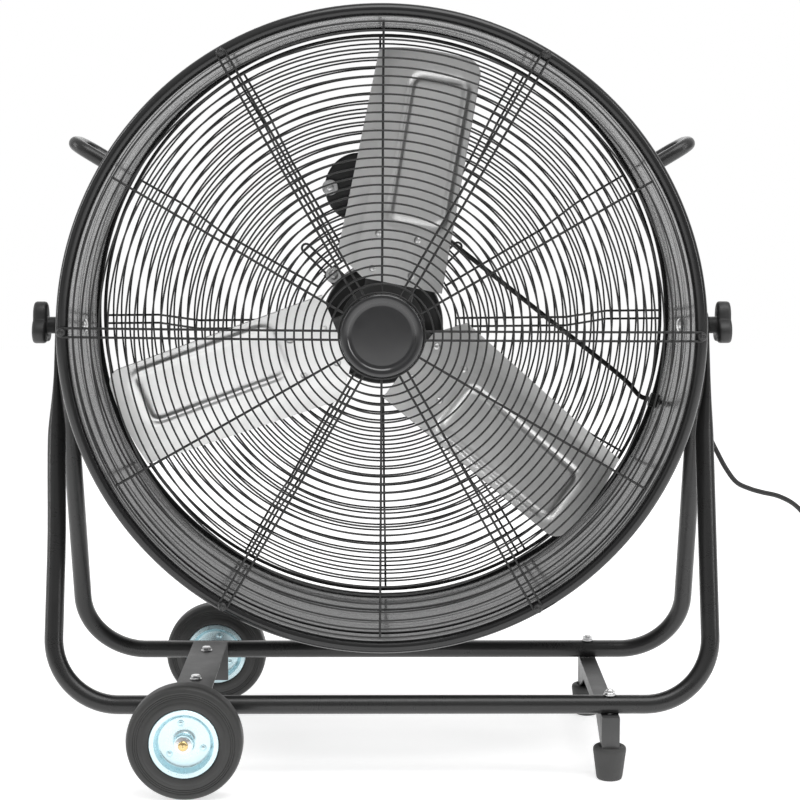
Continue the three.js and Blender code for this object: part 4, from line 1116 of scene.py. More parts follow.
@dataclass(frozen=True)
class Drum:
    """The rolled steel drum with its rolled rims, pressed ribs, handles and pivot bolts."""

    radius: float = 412.0
    wall: float = 1.6
    bead: float = 8.5
    bead_radius: float = 414.5
    front_y: float = -147.0
    rear_y: float = 149.0
    swages: tuple[tuple[float, float, float], ...] = (  # place along Y, half width, height
        (-122.0, 5.0, 1.2), (-86.0, 8.0, 3.4), (-44.0, 5.0, 1.0), (-26.0, 4.0, 1.4), (26.0, 4.0, 0.8),
        (56.0, 8.0, 3.4), (92.0, 5.0, 1.2), (118.0, 4.0, 0.9),
    )
    handle_angle: float = 30.9
    handle_reach: float = 490.0
    handle_span: float = 100.0
    handle_tube: float = 19.0
    handle_bend: float = 26.0

    def build(self) -> None:
        """Makes the drum's own pieces."""
        MAKER.piece("drum_skin", self._shell().moved(z=AXIS_HEIGHT), DRUM_PAINT, Body.DRUM,
                    ["drum_shell"], sharp=50)
        angles = (("right", self.handle_angle), ("left", 180 - self.handle_angle))
        for (name, angle), handle in zip(angles, repeated(self._handle(), 2)):
            handle.to_angle(angle).moved(z=AXIS_HEIGHT)
            MAKER.piece(f"handle_{name}_tube", handle, HANDLE_PAINT, Body.DRUM,
                        [f"handle_{name}"], sharp=60)
        for (name, turn), bolt in zip((("right", 0), ("left", 180)), repeated(self._pivot_bolt(), 2)):
            bolt.turned("Z", turn).moved(z=AXIS_HEIGHT)
            MAKER.piece(f"pivot_{name}_bolt", bolt, BOLT_ZINC, Body.DRUM, [f"pivot_bolt_{name}"])

    def bulge(self, y: float) -> float:
        """How far the swages lift the wall.

        Args:
            y: The depth.

        Returns:
            The lift, outwards.
        """
        out = 0.0
        for place, half, height in self.swages:
            if abs(y - place) < half:
                out += height * 0.5 * (1 + math.cos(math.pi * (y - place) / half))
        return out

    def _shell(self) -> Form:
        """The drum's ribbed wall, with a rolled bead at each end."""
        meets = math.degrees(math.acos((self.bead_radius - self.radius) / self.bead))
        meets_in = math.degrees(math.acos((self.bead_radius - self.radius + self.wall) / self.bead))
        front = arc((self.bead_radius, self.front_y), self.bead, -180 - meets_in, 180 - meets, 26)
        rear = arc((self.bead_radius, self.rear_y), self.bead, meets - 180, 180 + meets_in, 26)
        depths = evenly(self.front_y + 10.5, self.rear_y - 10.5, 150)
        outside = [(self.radius + self.bulge(y), y) for y in depths]
        inside = [(self.radius - self.wall + self.bulge(y), y) for y in reversed(depths)]
        return revolve([*front, *outside, *rear, *inside], 224)

    def _handle(self) -> Form:
        """A handle along +X, bent from one tube."""
        r = self.handle_tube / 2
        base = self.radius + 1.2
        half = self.handle_span / 2 - r
        out = self.handle_reach - r
        bend = self.handle_bend
        line = [(x, -half, 0.0) for x in evenly(base, out - bend, 6)]
        line += [(out - bend + bend * math.sin(a), -half + bend - bend * math.cos(a), 0.0)
                 for a in evenly(0, math.pi / 2, 12)[1:]]
        other = [(x, -y, z) for x, y, z in reversed(line)]
        line += [(out, y, 0.0) for y in evenly(-half + bend, half - bend, 6)[1:-1]] + other
        return tube(line, r, 28)

    def _pivot_bolt(self) -> Form:
        """A pivot bolt along +X, with its head inside the drum and its spacer outside."""
        inside = self.radius * math.cos(math.pi / 32) - self.wall - 0.3
        profile = [(0, inside - 4.6), (5.5, inside - 4.4), (7.6, inside - 3.2), (9, inside - 1), (9, inside)]
        profile += [(5, inside), (5, self.radius + 0.3), (17.2, self.radius + 0.3), (18, self.radius + 1.1)]
        profile += [(18, 429.2), (17.2, 430), (5, 430)]
        for k in range(16):  # the thread, inside the tubes and the knob
            profile += [(5, 431 + 2.4 * k), (4.6, 432.2 + 2.4 * k)]
        profile += [(4.6, 469.4), (0, 470)]
        return revolve(profile, 40).along_x()


# ---- Guards ----


@dataclass(frozen=True)
class FrontGuard:
    """The domed front grille of concentric wires, its badge and its six screws."""

    first_ring: float = 55.5
    last_ring: float = 399.3
    rings: int = 31
    ring_wire: float = 2.5
    spoke_wire: float = 3.2
    spread: float = 5.8
    dome: float = 13.0
    turn: float = -0.4
    screw_radius: float = 415.0
    seat_y: float = -157.4  # middle of the spokes at the rim
    washer: float = 5.6
    head: float = 4.6

    def build(self) -> None:
        """Makes the grille, the badge and the screws."""
        wires = []
        for radius in evenly(self.first_ring, self.last_ring, self.rings):
            y = self.depth(radius) - (self.spoke_wire + self.ring_wire) / 2 + 1.1
            wires.append(hoop(radius, y, self.ring_wire, 168))
        spokes = repeated(self._spoke(self.last_ring + 1.5), 6)
        for index, (single, pair) in enumerate(zip(spokes, repeated(self._hairpin(), 6))):
            wires += [pair.to_angle(60 * index + self.turn), single.to_angle(60 * index + 30 + self.turn)]
        MAKER.piece("front_grille", gathered(wires).moved(z=AXIS_HEIGHT), WIRE_PAINT, Body.DRUM,
                    ["front_guard"], sharp=70)
        MAKER.piece("badge_face", self._badge().moved(z=AXIS_HEIGHT), BADGE_GLOSS, Body.DRUM,
                    ["badge_disc"], sharp=40)
        for index, screw in enumerate(repeated(self._screw(), 6)):
            screw.moved(x=self.screw_radius).to_angle(index * 60 + self.turn).moved(z=AXIS_HEIGHT)
            MAKER.piece(f"rim_screw_{index + 1}", screw, SCREW_PAINT, Body.DRUM,
                        [f"guard_screw_{index + 1}"])

    def depth(self, radius: float) -> float:
        """Where the dome lies at a radius."""
        share = min(1.0, radius / self.last_ring)
        return self.seat_y - self.dome * (1 - share * share)

    def _spoke(self, reach: float) -> Form:
        """A single spoke along +X."""
        return tube([(r, self.depth(r), 0.0) for r in evenly(self.first_ring - 1.0, reach, 24)],
                    self.spoke_wire / 2, 10)

    def _hairpin(self) -> Form:
        """A pair of spokes along +X, bent from one wire round its screw."""
        near = self.screw_radius - 3.0
        line = [(r, self.depth(r), -self.spread) for r in evenly(self.first_ring - 1.0, near, 26)]
        line += [(near + self.spread * math.sin(a), self.seat_y, -self.spread * math.cos(a))
                 for a in evenly(0, math.pi, 13)[1:-1]]
        line += [(r, self.depth(r), self.spread) for r in evenly(near, self.first_ring - 1.0, 26)]
        return tube(line, self.spoke_wire / 2, 10)

    def _badge(self) -> Form:
        """The plain round badge with its raised rim."""
        radius = self.first_ring - self.ring_wire / 2 - 0.3
        back = self.depth(self.first_ring) + self.spoke_wire / 2
        face = back - self.spoke_wire - 5.5
        profile = [(0, face + 1.7), (20, face + 1.75), (38, face + 1.95), (42.2, face + 2.1), (43.2, face + 1.6)]
        profile += [(44.2, face + 0.5), (45.4, face), *arc((radius - 3, face + 3), 3, -90, 0, 6)]
        profile += [(radius, back - 0.6), (radius - 0.6, back), (0, back)]
        return revolve(profile, 96)

    def _screw(self) -> Form:
        """A screw with its washer inside the end of a hairpin."""
        seat, w = self.seat_y - self.spoke_wire / 2 - 0.3, self.washer
        washer = revolve([(0, seat - 1.5), (w - 0.4, seat - 1.5), (w, seat - 1.1), (w, seat), (0, seat)], 32)
        shank = revolve([(0, seat - 1.5), (3, seat - 1.5), (3, self.seat_y + 12), (0, self.seat_y + 13)], 16)
        return cross_head(self.head, seat - 5.4, 4.0).join(washer, shank)


@dataclass(frozen=True)
class RearGuard:
    """The dished rear grille that carries the motor."""

    first_ring: float = 102.0
    last_ring: float = 400.5
    rings: int = 27
    ring_wire: float = 2.6
    rim_wire: float = 5.0
    spoke_wire: float = 3.2
    spread: float = 5.8
    centre_y: float = 38.0
    rim_y: float = 150.0
    slope_inner: float = 254.0
    slope_outer: float = 323.0
    turn: float = 0.5
    mount_start: float = 88.0
    mount_reach: float = 148.0

    def build(self) -> None:
        """Makes the grille: rings, twelve spokes to the rim as in front, and four hairpins for the motor."""
        radii = evenly(self.first_ring, self.last_ring, self.rings)
        wires = [hoop(radius, self.depth(radius) + 1.4, self.ring_wire, 160) for radius in radii[:-1]]
        wires.append(hoop(self.last_ring, self.rim_y, self.rim_wire, 192, 14))
        for index in range(6):
            for offset, extra in ((-self.spread, 0), (self.spread, 0), (0.0, 30)):
                wires.append(self._spoke(offset).to_angle(60 * index + extra + self.turn))
        for index, loop in enumerate(repeated(self._mount(), 4)):
            wires.append(loop.to_angle(45 + 90 * index + self.turn))
        MAKER.piece("rear_grille", gathered(wires).moved(z=AXIS_HEIGHT), REAR_WIRE_PAINT, Body.DRUM,
                    ["rear_guard"], sharp=70)

    def depth(self, radius: float) -> float:
        """Where the dish lies at a radius."""
        share = (radius - self.slope_inner) / (self.slope_outer - self.slope_inner)
        return self.centre_y + (self.rim_y - self.centre_y) * min(1.0, max(0.0, share))

    def _spoke(self, offset: float) -> Form:
        """A spoke along +X at an offset across."""
        stops = [(r, self.depth(r), offset) for r in evenly(self.first_ring - 1.0, self.last_ring, 60)]
        return tube(stops, self.spoke_wire / 2, 8)

    def _mount(self) -> Form:
        """A closed hairpin along +X that carries one of the motor's bolts."""
        s, y = self.spread, self.centre_y
        turns = evenly(0, math.pi, 11)
        line = [(self.mount_start - s * math.sin(a), y, s * math.cos(a)) for a in turns]
        line += [(self.mount_reach + s * math.sin(a), y, -s * math.cos(a)) for a in turns]
        return tube([*line, line[0]], self.spoke_wire / 2, 8)


# ---- Fan ----


@dataclass(frozen=True)
class Fan:
    """The three pressed blades on their hub.

    A point of a blade is given by u, out along it, and v, clockwise across it.

    Attributes:
        leading: v of the leading edge at the root and at the tip.
        slopes: Pitch at the root and at the tip.
        curl_from: v at which the leading strip starts to bend.
        curl: Slope of that bend; a negative one is towards the front.
        root_cut_from: How far across the root's slanted cut starts.
        root_cut: Slope of that cut.
        sweep_from: How far across the leading edge's taper starts.
        panel: Inner and outer u, and lower and upper v, of the line round the panel.
        rivet_rows: u of the two rows of rivets.
    """

    first_angle: float = 80.0
    tip_radius: float = 376.0
    root_radius: float = 60.0
    leading: tuple[float, float] = (-78.0, -68.0)
    trailing: float = 70.0
    corner: float = 18.0
    thickness: float = 1.6
    mid_y: float = -32.0
    slopes: tuple[float, float] = (0.42, 0.34)
    camber: float = 6.0
    curl_from: float = -50.0
    curl: float = -0.15
    root_cut_from: float = 37.0
    root_cut: float = 0.65
    sweep_from: float = 20.0
    panel: tuple[float, float, float, float] = (143.5, 340.5, -17.0, 56.5)
    panel_corner: float = 14.0
    groove_half_width: float = 7.0
    groove_depth: float = 2.6
    rivet_rows: tuple[float, float] = (75.0, 123.5)
    rivet_across: float = 26.5
    arm_thickness: float = 4.0

    def build(self) -> None:
        """Makes the blades, the hub and the shaft."""
        for index, sheet in enumerate(repeated(self._sheet(), 3)):
            angle = self.first_angle + 120 * index
            sheet.to_angle(angle).moved(z=AXIS_HEIGHT)
            MAKER.piece(f"blade_{index + 1}_sheet", sheet, blade_finish(index + 1, angle), Body.FAN,
                        [f"blade_{index + 1}"], sharp=50)
        MAKER.piece("hub_pressing", self._hub().moved(z=AXIS_HEIGHT), HUB_PAINT, Body.FAN,
                    ["hub_spider"], sharp=40)
        keep_node("motor_shaft", SHAFT_STEEL)
        keep_node("rotor_core", ROTOR_CORE)

    def depth(self, u: float, v: float) -> float:
        """Where the sheet's middle lies."""
        return self._plain(u, v) + self._groove(u, v)

    def _plain(self, u: float, v: float) -> float:
        """Where the sheet would lie without its pressed groove.

        Args:
            u: Out along the blade.
            v: Clockwise across it.

        Returns:
            The depth.
        """
        out = (u - self.root_radius) / (self.tip_radius - self.root_radius)
        slope = self.slopes[0] + (self.slopes[1] - self.slopes[0]) * out
        arch = self.camber * (1 - (v / self.trailing) ** 2)
        return self.mid_y - slope * v + arch + self.curl * max(0.0, self.curl_from - v)

    def _groove(self, u: float, v: float) -> float:
        """How deep the groove round the blade's panel is pressed in.

        Args:
            u: Out along the blade.
            v: Clockwise across it.

        Returns:
            The groove's depth.
        """
        inner, outer, left, right = self.panel
        c = self.panel_corner
        du = abs(u - (inner + outer) / 2) - (outer - inner) / 2 + c
        dv = abs(v - (left + right) / 2) - (right - left) / 2 + c
        outside = math.hypot(max(du, 0), max(dv, 0)) + min(max(du, dv), 0) - c
        return self.groove_depth * smooth(1 - abs(outside) / self.groove_half_width)

    def _sheet(self) -> Form:
        """One blade with its rivets, pointing along +X."""
        turns_in = self.trailing - self.corner
        columns = self._stations([self.leading[0], self.curl_from, self.panel[2], turns_in], 2.2)
        columns += [turns_in + self.corner * math.sin(a) for a in evenly(0, math.pi / 2, 13)[1:]]
        rows = self._stations([0.0, *self.panel[:2], self.tip_radius], 4.0)
        sweep = (self.leading[1] - self.leading[0]) / (-self.leading[0] - self.sweep_from)
        grid = []
        for station in rows:
            line = []
            for c in columns:
                root = self.root_radius + max(0.0, -c - self.root_cut_from) * self.root_cut
                over = max(0.0, c - turns_in)
                rounding = self.corner - math.sqrt(max(0.0, self.corner**2 - over**2))
                tip = math.sqrt(self.tip_radius**2 - c * c) - rounding
                u = min(max(station, root), tip) if station < self.tip_radius else tip
                share = (u - self.root_radius) / (self.tip_radius - self.root_radius)
                v = c + sweep * share * max(0.0, -c - self.sweep_from)
                line.append((u, self.depth(u, v), -v))
            grid.append(line)
        sheet = skin(grid)
        with editing(sheet):
            bpy.ops.mesh.remove_doubles(threshold=0.002)
            bpy.ops.mesh.normals_make_consistent(inside=False)
        sheet.modified("SOLIDIFY", thickness=self.thickness, offset=0.0)
        with editing(sheet):
            bpy.ops.mesh.normals_make_consistent(inside=False)
        return sheet.join(*self._rivets())

    @staticmethod
    def _stations(stops: Sequence[float], step: float) -> list[float]:
        """Numbers that meet every stop.

        Args:
            stops: In order.
            step: About how far apart the numbers are.

        Returns:
            The numbers.
        """
        out = [stops[0]]
        for a, b in zip(stops, stops[1:]):
            out += evenly(a, b, max(2, round((b - a) / step) + 1))[1:]
        return out

    def _rivets(self) -> list[Form]:
        """The four rivet heads of a blade."""
        top = -self.thickness / 2 - 2.0
        profile = [(0.0, top), (1.8, top + 0.1), (3.4, top + 0.5), (4.6, top + 1.2), (5.0, top + 2.1), (0.0, top + 2.1)]
        places = [(u, side * self.rivet_across) for u in self.rivet_rows for side in (-1, 1)]
        heads = repeated(revolve(profile, 24), len(places))
        for head, (u, v) in zip(heads, places):
            tilt = math.degrees(math.atan((self.depth(u, v - 1) - self.depth(u, v + 1)) / 2))
            head.turned("X", -tilt).moved(u, self.depth(u, v), -v)
        return heads

    def _hub(self) -> Form:
        """The hub's disc and bush with its three arms behind the blades."""
        lift = self.thickness / 2 + 0.3 + self.arm_thickness / 2
        hub_y = self.mid_y + self.camber + lift
        edge = arc((56.5, hub_y - 2.5), 1.5, -90, 0, 4) + arc((56.5, hub_y + 2.5), 1.5, 0, 90, 4)
        disc = [(7.3, hub_y - 20), (17, hub_y - 20), (18, hub_y - 19), (18, hub_y - 5), (20, hub_y - 4), *edge]
        rows = []
        for u in evenly(40, 134, 18):
            taper = 1 - 0.25 * smooth((u - 112) / 22) ** 2
            rows.append([(u, self._plain(u, v * taper) + lift, -v * taper) for v in evenly(-33, 33, 15)])
        arm = skin(rows).modified("SOLIDIFY", thickness=self.arm_thickness, offset=0.0)
        with editing(arm):
            bpy.ops.mesh.normals_make_consistent(inside=False)
        arms = repeated(arm, 3)
        for index, each in enumerate(arms):
            each.to_angle(self.first_angle + 120 * index)
        return revolve([*disc, (7.3, hub_y + 4)], 64).join(*arms)


# ---- Motor and controls ----


@dataclass(frozen=True)
class Motor:
    """The enclosed motor behind the fan, held by four bolts on the rear grille."""

    radius: float = 84.0
    front_y: float = 14.0
    split_y: float = 66.0
    rear_y: float = 118.0
    bolt_circle: float = 95.0
    first_bolt: float = 45.5  # its angle
    lug_y: float = 39.9
    wires_y: float = 36.1  # front of the grille's wires

    def build(self) -> None:
        """Makes the housing, the cover and the bolts, and dresses the inside."""
        r = self.radius
        nose = [(7.3, 14), (20, 14), (20, 15.2), (34, 15.2), (34, 14), (r - 24, 14), *arc((r - 13, 27), 13, -88, 0, 9)]
        inside = [(r - 3.5, 66), (r - 3.5, 29), (r - 15, 17.8), (21.3, 17.8), (21.3, 28.5), (17.3, 28.5), (17.3, 17.5)]
        housing = revolve([*nose, (r, 64.8), (r - 0.6, 66), *inside, (7.3, 17.5)], 96)
        lugs = repeated(block(r - 1.7, self.bolt_circle + 9, self.lug_y, self.lug_y + 5, -11, 11), 4)
        for index, lug in enumerate(lugs):
            lug.to_angle(self.first_bolt + 90 * index)
        housing.join(*lugs)
        MAKER.piece("motor_front_shell", housing.moved(z=AXIS_HEIGHT), MOTOR_PAINT, Body.DRUM,
                    ["motor_housing"], bevel=0.8, bevel_angle=60)
        back = [(0, 114.5), (17.3, 114.5), (17.3, 103.5), (21.3, 103.5), (21.3, 114.5), (r - 20, 114.5), (r - 3.5, 106)]
        back += [(r - 3.5, 66.3), (r - 0.6, 66.3), (r, 67.4)]
        for k in range(7):  # cooling ribs
            y = 71 + 4.6 * k
            back += [(r, y), (r - 1.8, y + 0.5), (r - 1.8, y + 2.0), (r, y + 2.5)]
        back += [*arc((r - 12, self.rear_y - 12), 12, 0, 84, 9), (34, self.rear_y), (32, self.rear_y - 1.5)]
        back += [(14, self.rear_y - 1.5), (12, self.rear_y), (0, self.rear_y)]
        MAKER.piece("motor_rear_shell", revolve(back, 96).moved(z=AXIS_HEIGHT), MOTOR_PAINT, Body.DRUM,
                    ["motor_cover"])
        for index, bolt in enumerate(repeated(self._bolt(), 4)):
            bolt.moved(x=self.bolt_circle).to_angle(self.first_bolt + 90 * index).moved(z=AXIS_HEIGHT)
            MAKER.piece(f"motor_bolt_{index + 1}_set", bolt, BOLT_ZINC, Body.DRUM,
                        [f"motor_bolt_{index + 1}"])
        keep_node("stator", STATOR_CORE)
        keep_node("front_bearing", BEARING_STEEL)
        keep_node("rear_bearing", BEARING_STEEL)

    def _bolt(self) -> Form:
        """A motor bolt with its washer and nut."""
        wires, nut = self.wires_y, self.lug_y + 5.3
        washer = revolve([(0, wires - 2.5), (10.4, wires - 2.5), (11, wires - 1.9), (11, wires), (0, wires)], 40)
        head = cross_head(6.5, wires - 7, 4.6)
        shank = revolve([(0, wires - 1), (3.8, wires - 1), (3.8, nut + 6), (0, nut + 6)], 20)
        return head.join(washer, shank, hexagon(6.5, nut, nut + 5.6))


@dataclass(frozen=True)
class Controls:
    """The round control box on the rear grille with its screw, switch, knob and lead."""

    x: float = -31.5
    z: float = 187.0
    radius: float = 48.0
    front_y: float = 39.9
    rear_y: float = 97.9
    wall: float = 2.5
    screw_x: float = -72.0
    screw_y: float = 31.1
    lead_angle: float = -13.3
    lead_y: float = 61.94
    lead_radius: float = 3.5
    gland_angle: float = GLAND_ANGLE
    gland_y: float = GLAND_Y
    gland_inner: float = 400.42

    def build(self) -> None:
        """Makes the box, its cover, the screw, the knob and the lead, and dresses the inside."""
        r, front, rear = self.radius, self.front_y, self.rear_y
        shell = [(0, front), *arc((r - 4, front + 4), 4, -90, 0, 7), (r, rear), (r - self.wall, rear)]
        shell += [(r - self.wall, front + self.wall), (0, front + self.wall)]
        lid = [(3.5, rear + 0.3), (r, rear + 0.3), (r, rear + 2.1), (r - 1.2, rear + 3.3), (3.5, rear + 3.3)]
        for name, profile, node in (("shell", shell, "control_box"), ("lid", lid, "control_cover")):
            pot = revolve(profile, 72).moved(self.x, 0, AXIS_HEIGHT + self.z)
            MAKER.piece(f"control_{name}", pot, PLASTIC, Body.DRUM, [node])
        knob = self._knob().moved(self.x, 0, AXIS_HEIGHT + self.z)
        MAKER.piece("speed_dial", knob, KNOB_PLASTIC, Body.SPEED_KNOB, ["speed_knob"], sharp=40)
        screw = self._screw().moved(self.screw_x, 0, AXIS_HEIGHT + self.z)
        MAKER.piece("box_screw_set", screw, BOLT_ZINC, Body.DRUM, ["box_screw"])
        MAKER.piece("inner_lead", tube(self._lead(), self.lead_radius, 14), CORD_SKIN, Body.DRUM,
                    ["supply_lead"], sharp=60)
        keep_node("switch_body", PLASTIC)

    def _knob(self) -> Form:
        """The speed knob with grip ribs and one pointer."""
        base = self.rear_y + 3.6
        profile = [(0, base - 15), (3, base - 15), (3, base), (14.2, base), (15, base + 0.8), (14.6, base + 5)]
        profile += [(13.8, base + 14), (12.6, base + 15.6), (11, base + 16), (0, base + 16)]
        ribs = repeated(block(13.4, 15.0, base + 1.2, base + 13.0, -0.5, 0.5), 24)
        for index, rib in enumerate(ribs):
            rib.to_angle(15 * index)
        pointer = block(3.0, 11.5, base + 15.8, base + 16.0, -0.8, 0.8)
        return revolve(profile, 48).join(*ribs, pointer.to_angle(90))

    def _screw(self) -> Form:
        """The screw that holds the box to the wires, on a broad washer."""
        top = self.screw_y
        washer = revolve([(0, top + 3.4), (10.4, top + 3.4), (10.9, top + 3.9), (10.9, top + 5), (0, top + 5)], 40)
        shank = revolve([(0, top + 3), (2.5, top + 3), (2.5, top + 17.2), (2.0, top + 17.8), (0, top + 17.8)], 20)
        return cross_head(5.0, top, 3.6).join(washer, shank)

    def _lead(self) -> list[Vector]:
        """The lead's centreline from the box to the gland."""

        def from_box(out: float) -> Vector:
            """A point straight out of the box's side."""
            turn, reach = math.radians(self.lead_angle), self.radius + out
            return Vector((self.x + reach * math.cos(turn), self.lead_y, AXIS_HEIGHT + self.z + reach * math.sin(turn)))

        def from_axis(radius: float) -> Vector:
            """A point on the gland's axis."""
            turn = math.radians(self.gland_angle)
            return Vector((radius * math.cos(turn), self.gland_y, AXIS_HEIGHT + radius * math.sin(turn)))

        start, end = from_box(0.3), from_axis(self.gland_inner - 0.3)
        stops = [start, from_box(9)]
        for across, deep in ((0.12, 0.06), (0.53, 0.365), (0.91, 0.894)):
            stop = start.lerp(end, across)
            stop.y = start.y + (end.y - start.y) * deep
            stops.append(stop)
        return through([*stops, from_axis(self.gland_inner - 12), end], 14)


# ---- Stand ----


@dataclass(frozen=True)
class Stand:
    """The two bent-tube frames with what holds the wheels and the feet."""

    tube: float = 25.0
    half_width: float = 437.0
    base_y: float = 153.0
    base_height: float = 99.3
    bend: float = 89.0
    flat_thickness: float = 7.7
    flat_width: float = 34.8
    flat_start: float = 355.0
    flat_end: float = 450.0
    inner_flat: float = 434.15
    outer_flat: float = 442.15
    bow: float = 4.0  # of the front tube's left leg, outwards
    bow_from: float = 200.0
    bow_run: float = 165.0
    wheel_x: float = WHEEL_X
    strap_top: float = 114.8
    strap_bolt_x: float = -253.5
    strap_bolt_y: float = 80.0
    foot_x: float = 301.2
    foot_y: float = 158.0

    def build(self) -> None:
        """Makes every fixed piece of the stand."""
        for name, side, flat in (("front", -1, self.outer_flat), ("rear", 1, self.inner_flat)):
            MAKER.piece(f"{name}_tube", self._frame(side, flat), FRAME_PAINT, Body.STAND,
                        [f"{name}_frame"], sharp=60)
            end = self._axle_screw()
            foot = self._cup()
            if side < 0:
                end.turned("Z", 180)
                foot.turned("Z", 180)
            MAKER.piece(f"hub_screw_{name}", end.moved(self.wheel_x, 0, WHEEL_HEIGHT), BRASS, Body.STAND,
                        [f"axle_screw_{name}"])
            washer = self._axle_washer().turned("Z", 90 * (side - 1)).moved(self.wheel_x, 0, WHEEL_HEIGHT)
            MAKER.piece(f"hub_washer_{name}", washer, BOLT_ZINC, Body.STAND)
            MAKER.piece(f"foot_{name}_cup", foot.moved(self.foot_x, side * self.foot_y, 0), FOOT_RUBBER, Body.STAND,
                        [f"foot_{name}"], sharp=40, bevel=0.8)
            MAKER.piece(f"foot_{name}_bolt", self._foot_bolt().moved(self.foot_x, side * self.base_y, 0), BOLT_ZINC,
                        Body.STAND, [f"foot_bolt_{name}"])
            bolt = self._strap_bolt().moved(self.strap_bolt_x, side * self.strap_bolt_y, self.strap_top)
            MAKER.piece(f"strap_bolt_{name}", bolt, BOLT_ZINC, Body.STAND, [f"bracket_bolt_{name}"])
        MAKER.piece("wheel_strap", self._strap(), STRAP_PAINT, Body.STAND, ["wheel_bracket"],
                    bevel=0.8)
        MAKER.piece("foot_channel", self._channel(), CHANNEL_PAINT, Body.STAND, ["foot_bracket"],
                    bevel=0.5)
        MAKER.piece("axle_rod", self._axle(), SHAFT_STEEL, Body.STAND, ["wheel_axle"])

    def _frame(self, side: int, flat_x: float) -> Form:
        """One bent tube with its two flattened ends.

        Args:
            side: -1 in front and 1 behind.
            flat_x: How far out its flattened ends lie.

        Returns:
            The closed form.
        """
        lean = Vector((0, self.base_y, AXIS_HEIGHT - self.base_height))
        leg, tip = lean.length, self.flat_width / 2
        stops = [leg + tip * s for s in (0.995, 0.96, 0.9, 0.8, 0.65, 0.5, 0.25, 0.0)] + [self.flat_end]
        stops += [self.flat_start + (self.flat_end - self.flat_start) * s for s in evenly(0.94, 0.0, 16)]
        stops += evenly(self.flat_start - 20, self.bend + 4, 8)
        half = [(-self.half_width, up, (0.0, -1.0)) for up in stops]
        for i in range(25):
            turn = math.pi + math.pi / 2 * i / 24
            at = (-self.half_width + self.bend + self.bend * math.cos(turn), self.bend + self.bend * math.sin(turn))
            half.append((*at, (-math.sin(turn), math.cos(turn))))
        inner = self.half_width - self.bend
        half += [(x, 0.0, (1.0, 0.0)) for x in evenly(-inner, 0, 8)[1:-1]]
        stations = half + [(-a, u, (t[0], -t[1])) for a, u, t in reversed(half)]
        across = Vector((1, 0, 0))
        up_axis = Vector((0, -side * lean.y, lean.z)).normalized()
        out_axis = across.cross(up_axis)
        foot = Vector((0, side * self.base_y, self.base_height))
        sides, rows = 36, []
        for a, u, tangent in stations:
            flat = smooth((u - self.flat_start) / (self.flat_end - self.flat_start))
            past = max(0.0, (u - leg) / tip)
            round_ = self.tube / 2
            thick = round_ + (self.flat_thickness / 2 - round_) * flat
            wide = (round_ + (tip - round_) * flat) * math.sqrt(max(0.0, 1 - past * past))
            power = 1 - 0.55 * flat
            shift = math.copysign(1, a) * (flat_x - self.half_width) * flat
            if side < 0 and a < 0:
                shift -= self.bow * smooth((u - self.bow_from) / self.bow_run) * (1 - flat)
            ring = []
            for k in range(sides):
                c, s = math.cos(2 * math.pi * (k + 0.5) / sides), math.sin(2 * math.pi * (k + 0.5) / sides)
                p = math.copysign(abs(c) ** power, c) * thick
                q = math.copysign(abs(s) ** power, s) * wide
                middle = foot + across * (a + shift - tangent[1] * p)
                ring.append(middle + up_axis * (u + tangent[0] * p) + out_axis * q)
            rows.append(ring)
        return skin(rows, around=True)

    def _axle(self) -> Form:
        """The axle, thinner where the wheels turn on it."""
        half = [(8, 215.7), (6, 215.7), (6, 257), (5.2, 258), (0, 258)]
        return revolve([*((r, -y) for r, y in reversed(half)), *half], 32).moved(self.wheel_x, 0, WHEEL_HEIGHT)

    def _axle_screw(self) -> Form:
        """The screw in the rear end of the axle."""
        return cross_head(6.5, 0, 5.5).turned("Z", 180).moved(y=265.3)

    def _axle_washer(self) -> Form:
        """The bright washer under an axle screw."""
        return revolve([(0, 258.3), (10.2, 258.3), (10.8, 258.8), (10.8, 259.4), (10.2, 259.8), (0, 259.8)], 40)

    def _strap(self) -> Form:
        """The bent strap between the base tubes, which carries the axle."""
        outer = self.base_y - self.tube / 2 - 0.3
        top, bottom, thick, bend = self.strap_top, 56.0, 3.0, 7.0
        half = [(outer, bottom), *arc((outer - bend, top - bend), bend, 0, 90, 7)]
        inside = [*arc((outer - bend, top - bend), bend - thick, 90, 0, 7), (outer - thick, bottom)]
        outline = [*half, *flipped(half), *flipped(inside), *inside]
        return prism(outline, -25, 25).turned("Z", 90).moved(x=self.wheel_x)

    def _strap_bolt(self) -> Form:
        """A bolt of the strap with its washer and nut, its seat at height 0."""
        head = hexagon(6.5, 1.2, 6.0)
        washer = revolve([(0, 0.3), (7.6, 0.3), (8, 0.6), (8, 1.1), (7.6, 1.4), (0, 1.4)], 32)
        shank = revolve([(0, -12.3), (3.6, -12.3), (4, -11.6), (4, 1.3), (0, 1.3)], 20)
        return head.join(washer, shank, hexagon(6.5, -9.3, -3.3)).along_z()

    def _channel(self) -> Form:
        """The foot channel under both base tubes, with its tapered flanges."""
        web_top = self.base_height - self.tube / 2 - 0.3
        x0, x1, t = self.foot_x - 11.75, self.foot_x + 11.75, 2.5
        end, bottom = 172.0, 22.0
        web = block(x0, x1, -end + 2, end - 2, web_top - t, web_top)
        for side in (-1, 1):
            y_a, y_b = sorted((side * end, side * (end - t)))
            web.join(block(x0, x1, y_a, y_b, bottom, web_top - 0.6))
        flange = [(-end + 0.4, web_top - 1.5), (-end + 0.4, bottom), (-end + 21, bottom), (-end + 25, 45), (-85, 70.5)]
        plates = [prism([*flange, *flipped(flange)], 0, t).turned("Z", 90).moved(x=x) for x in (x0 + t, x1)]
        return web.join(*plates)

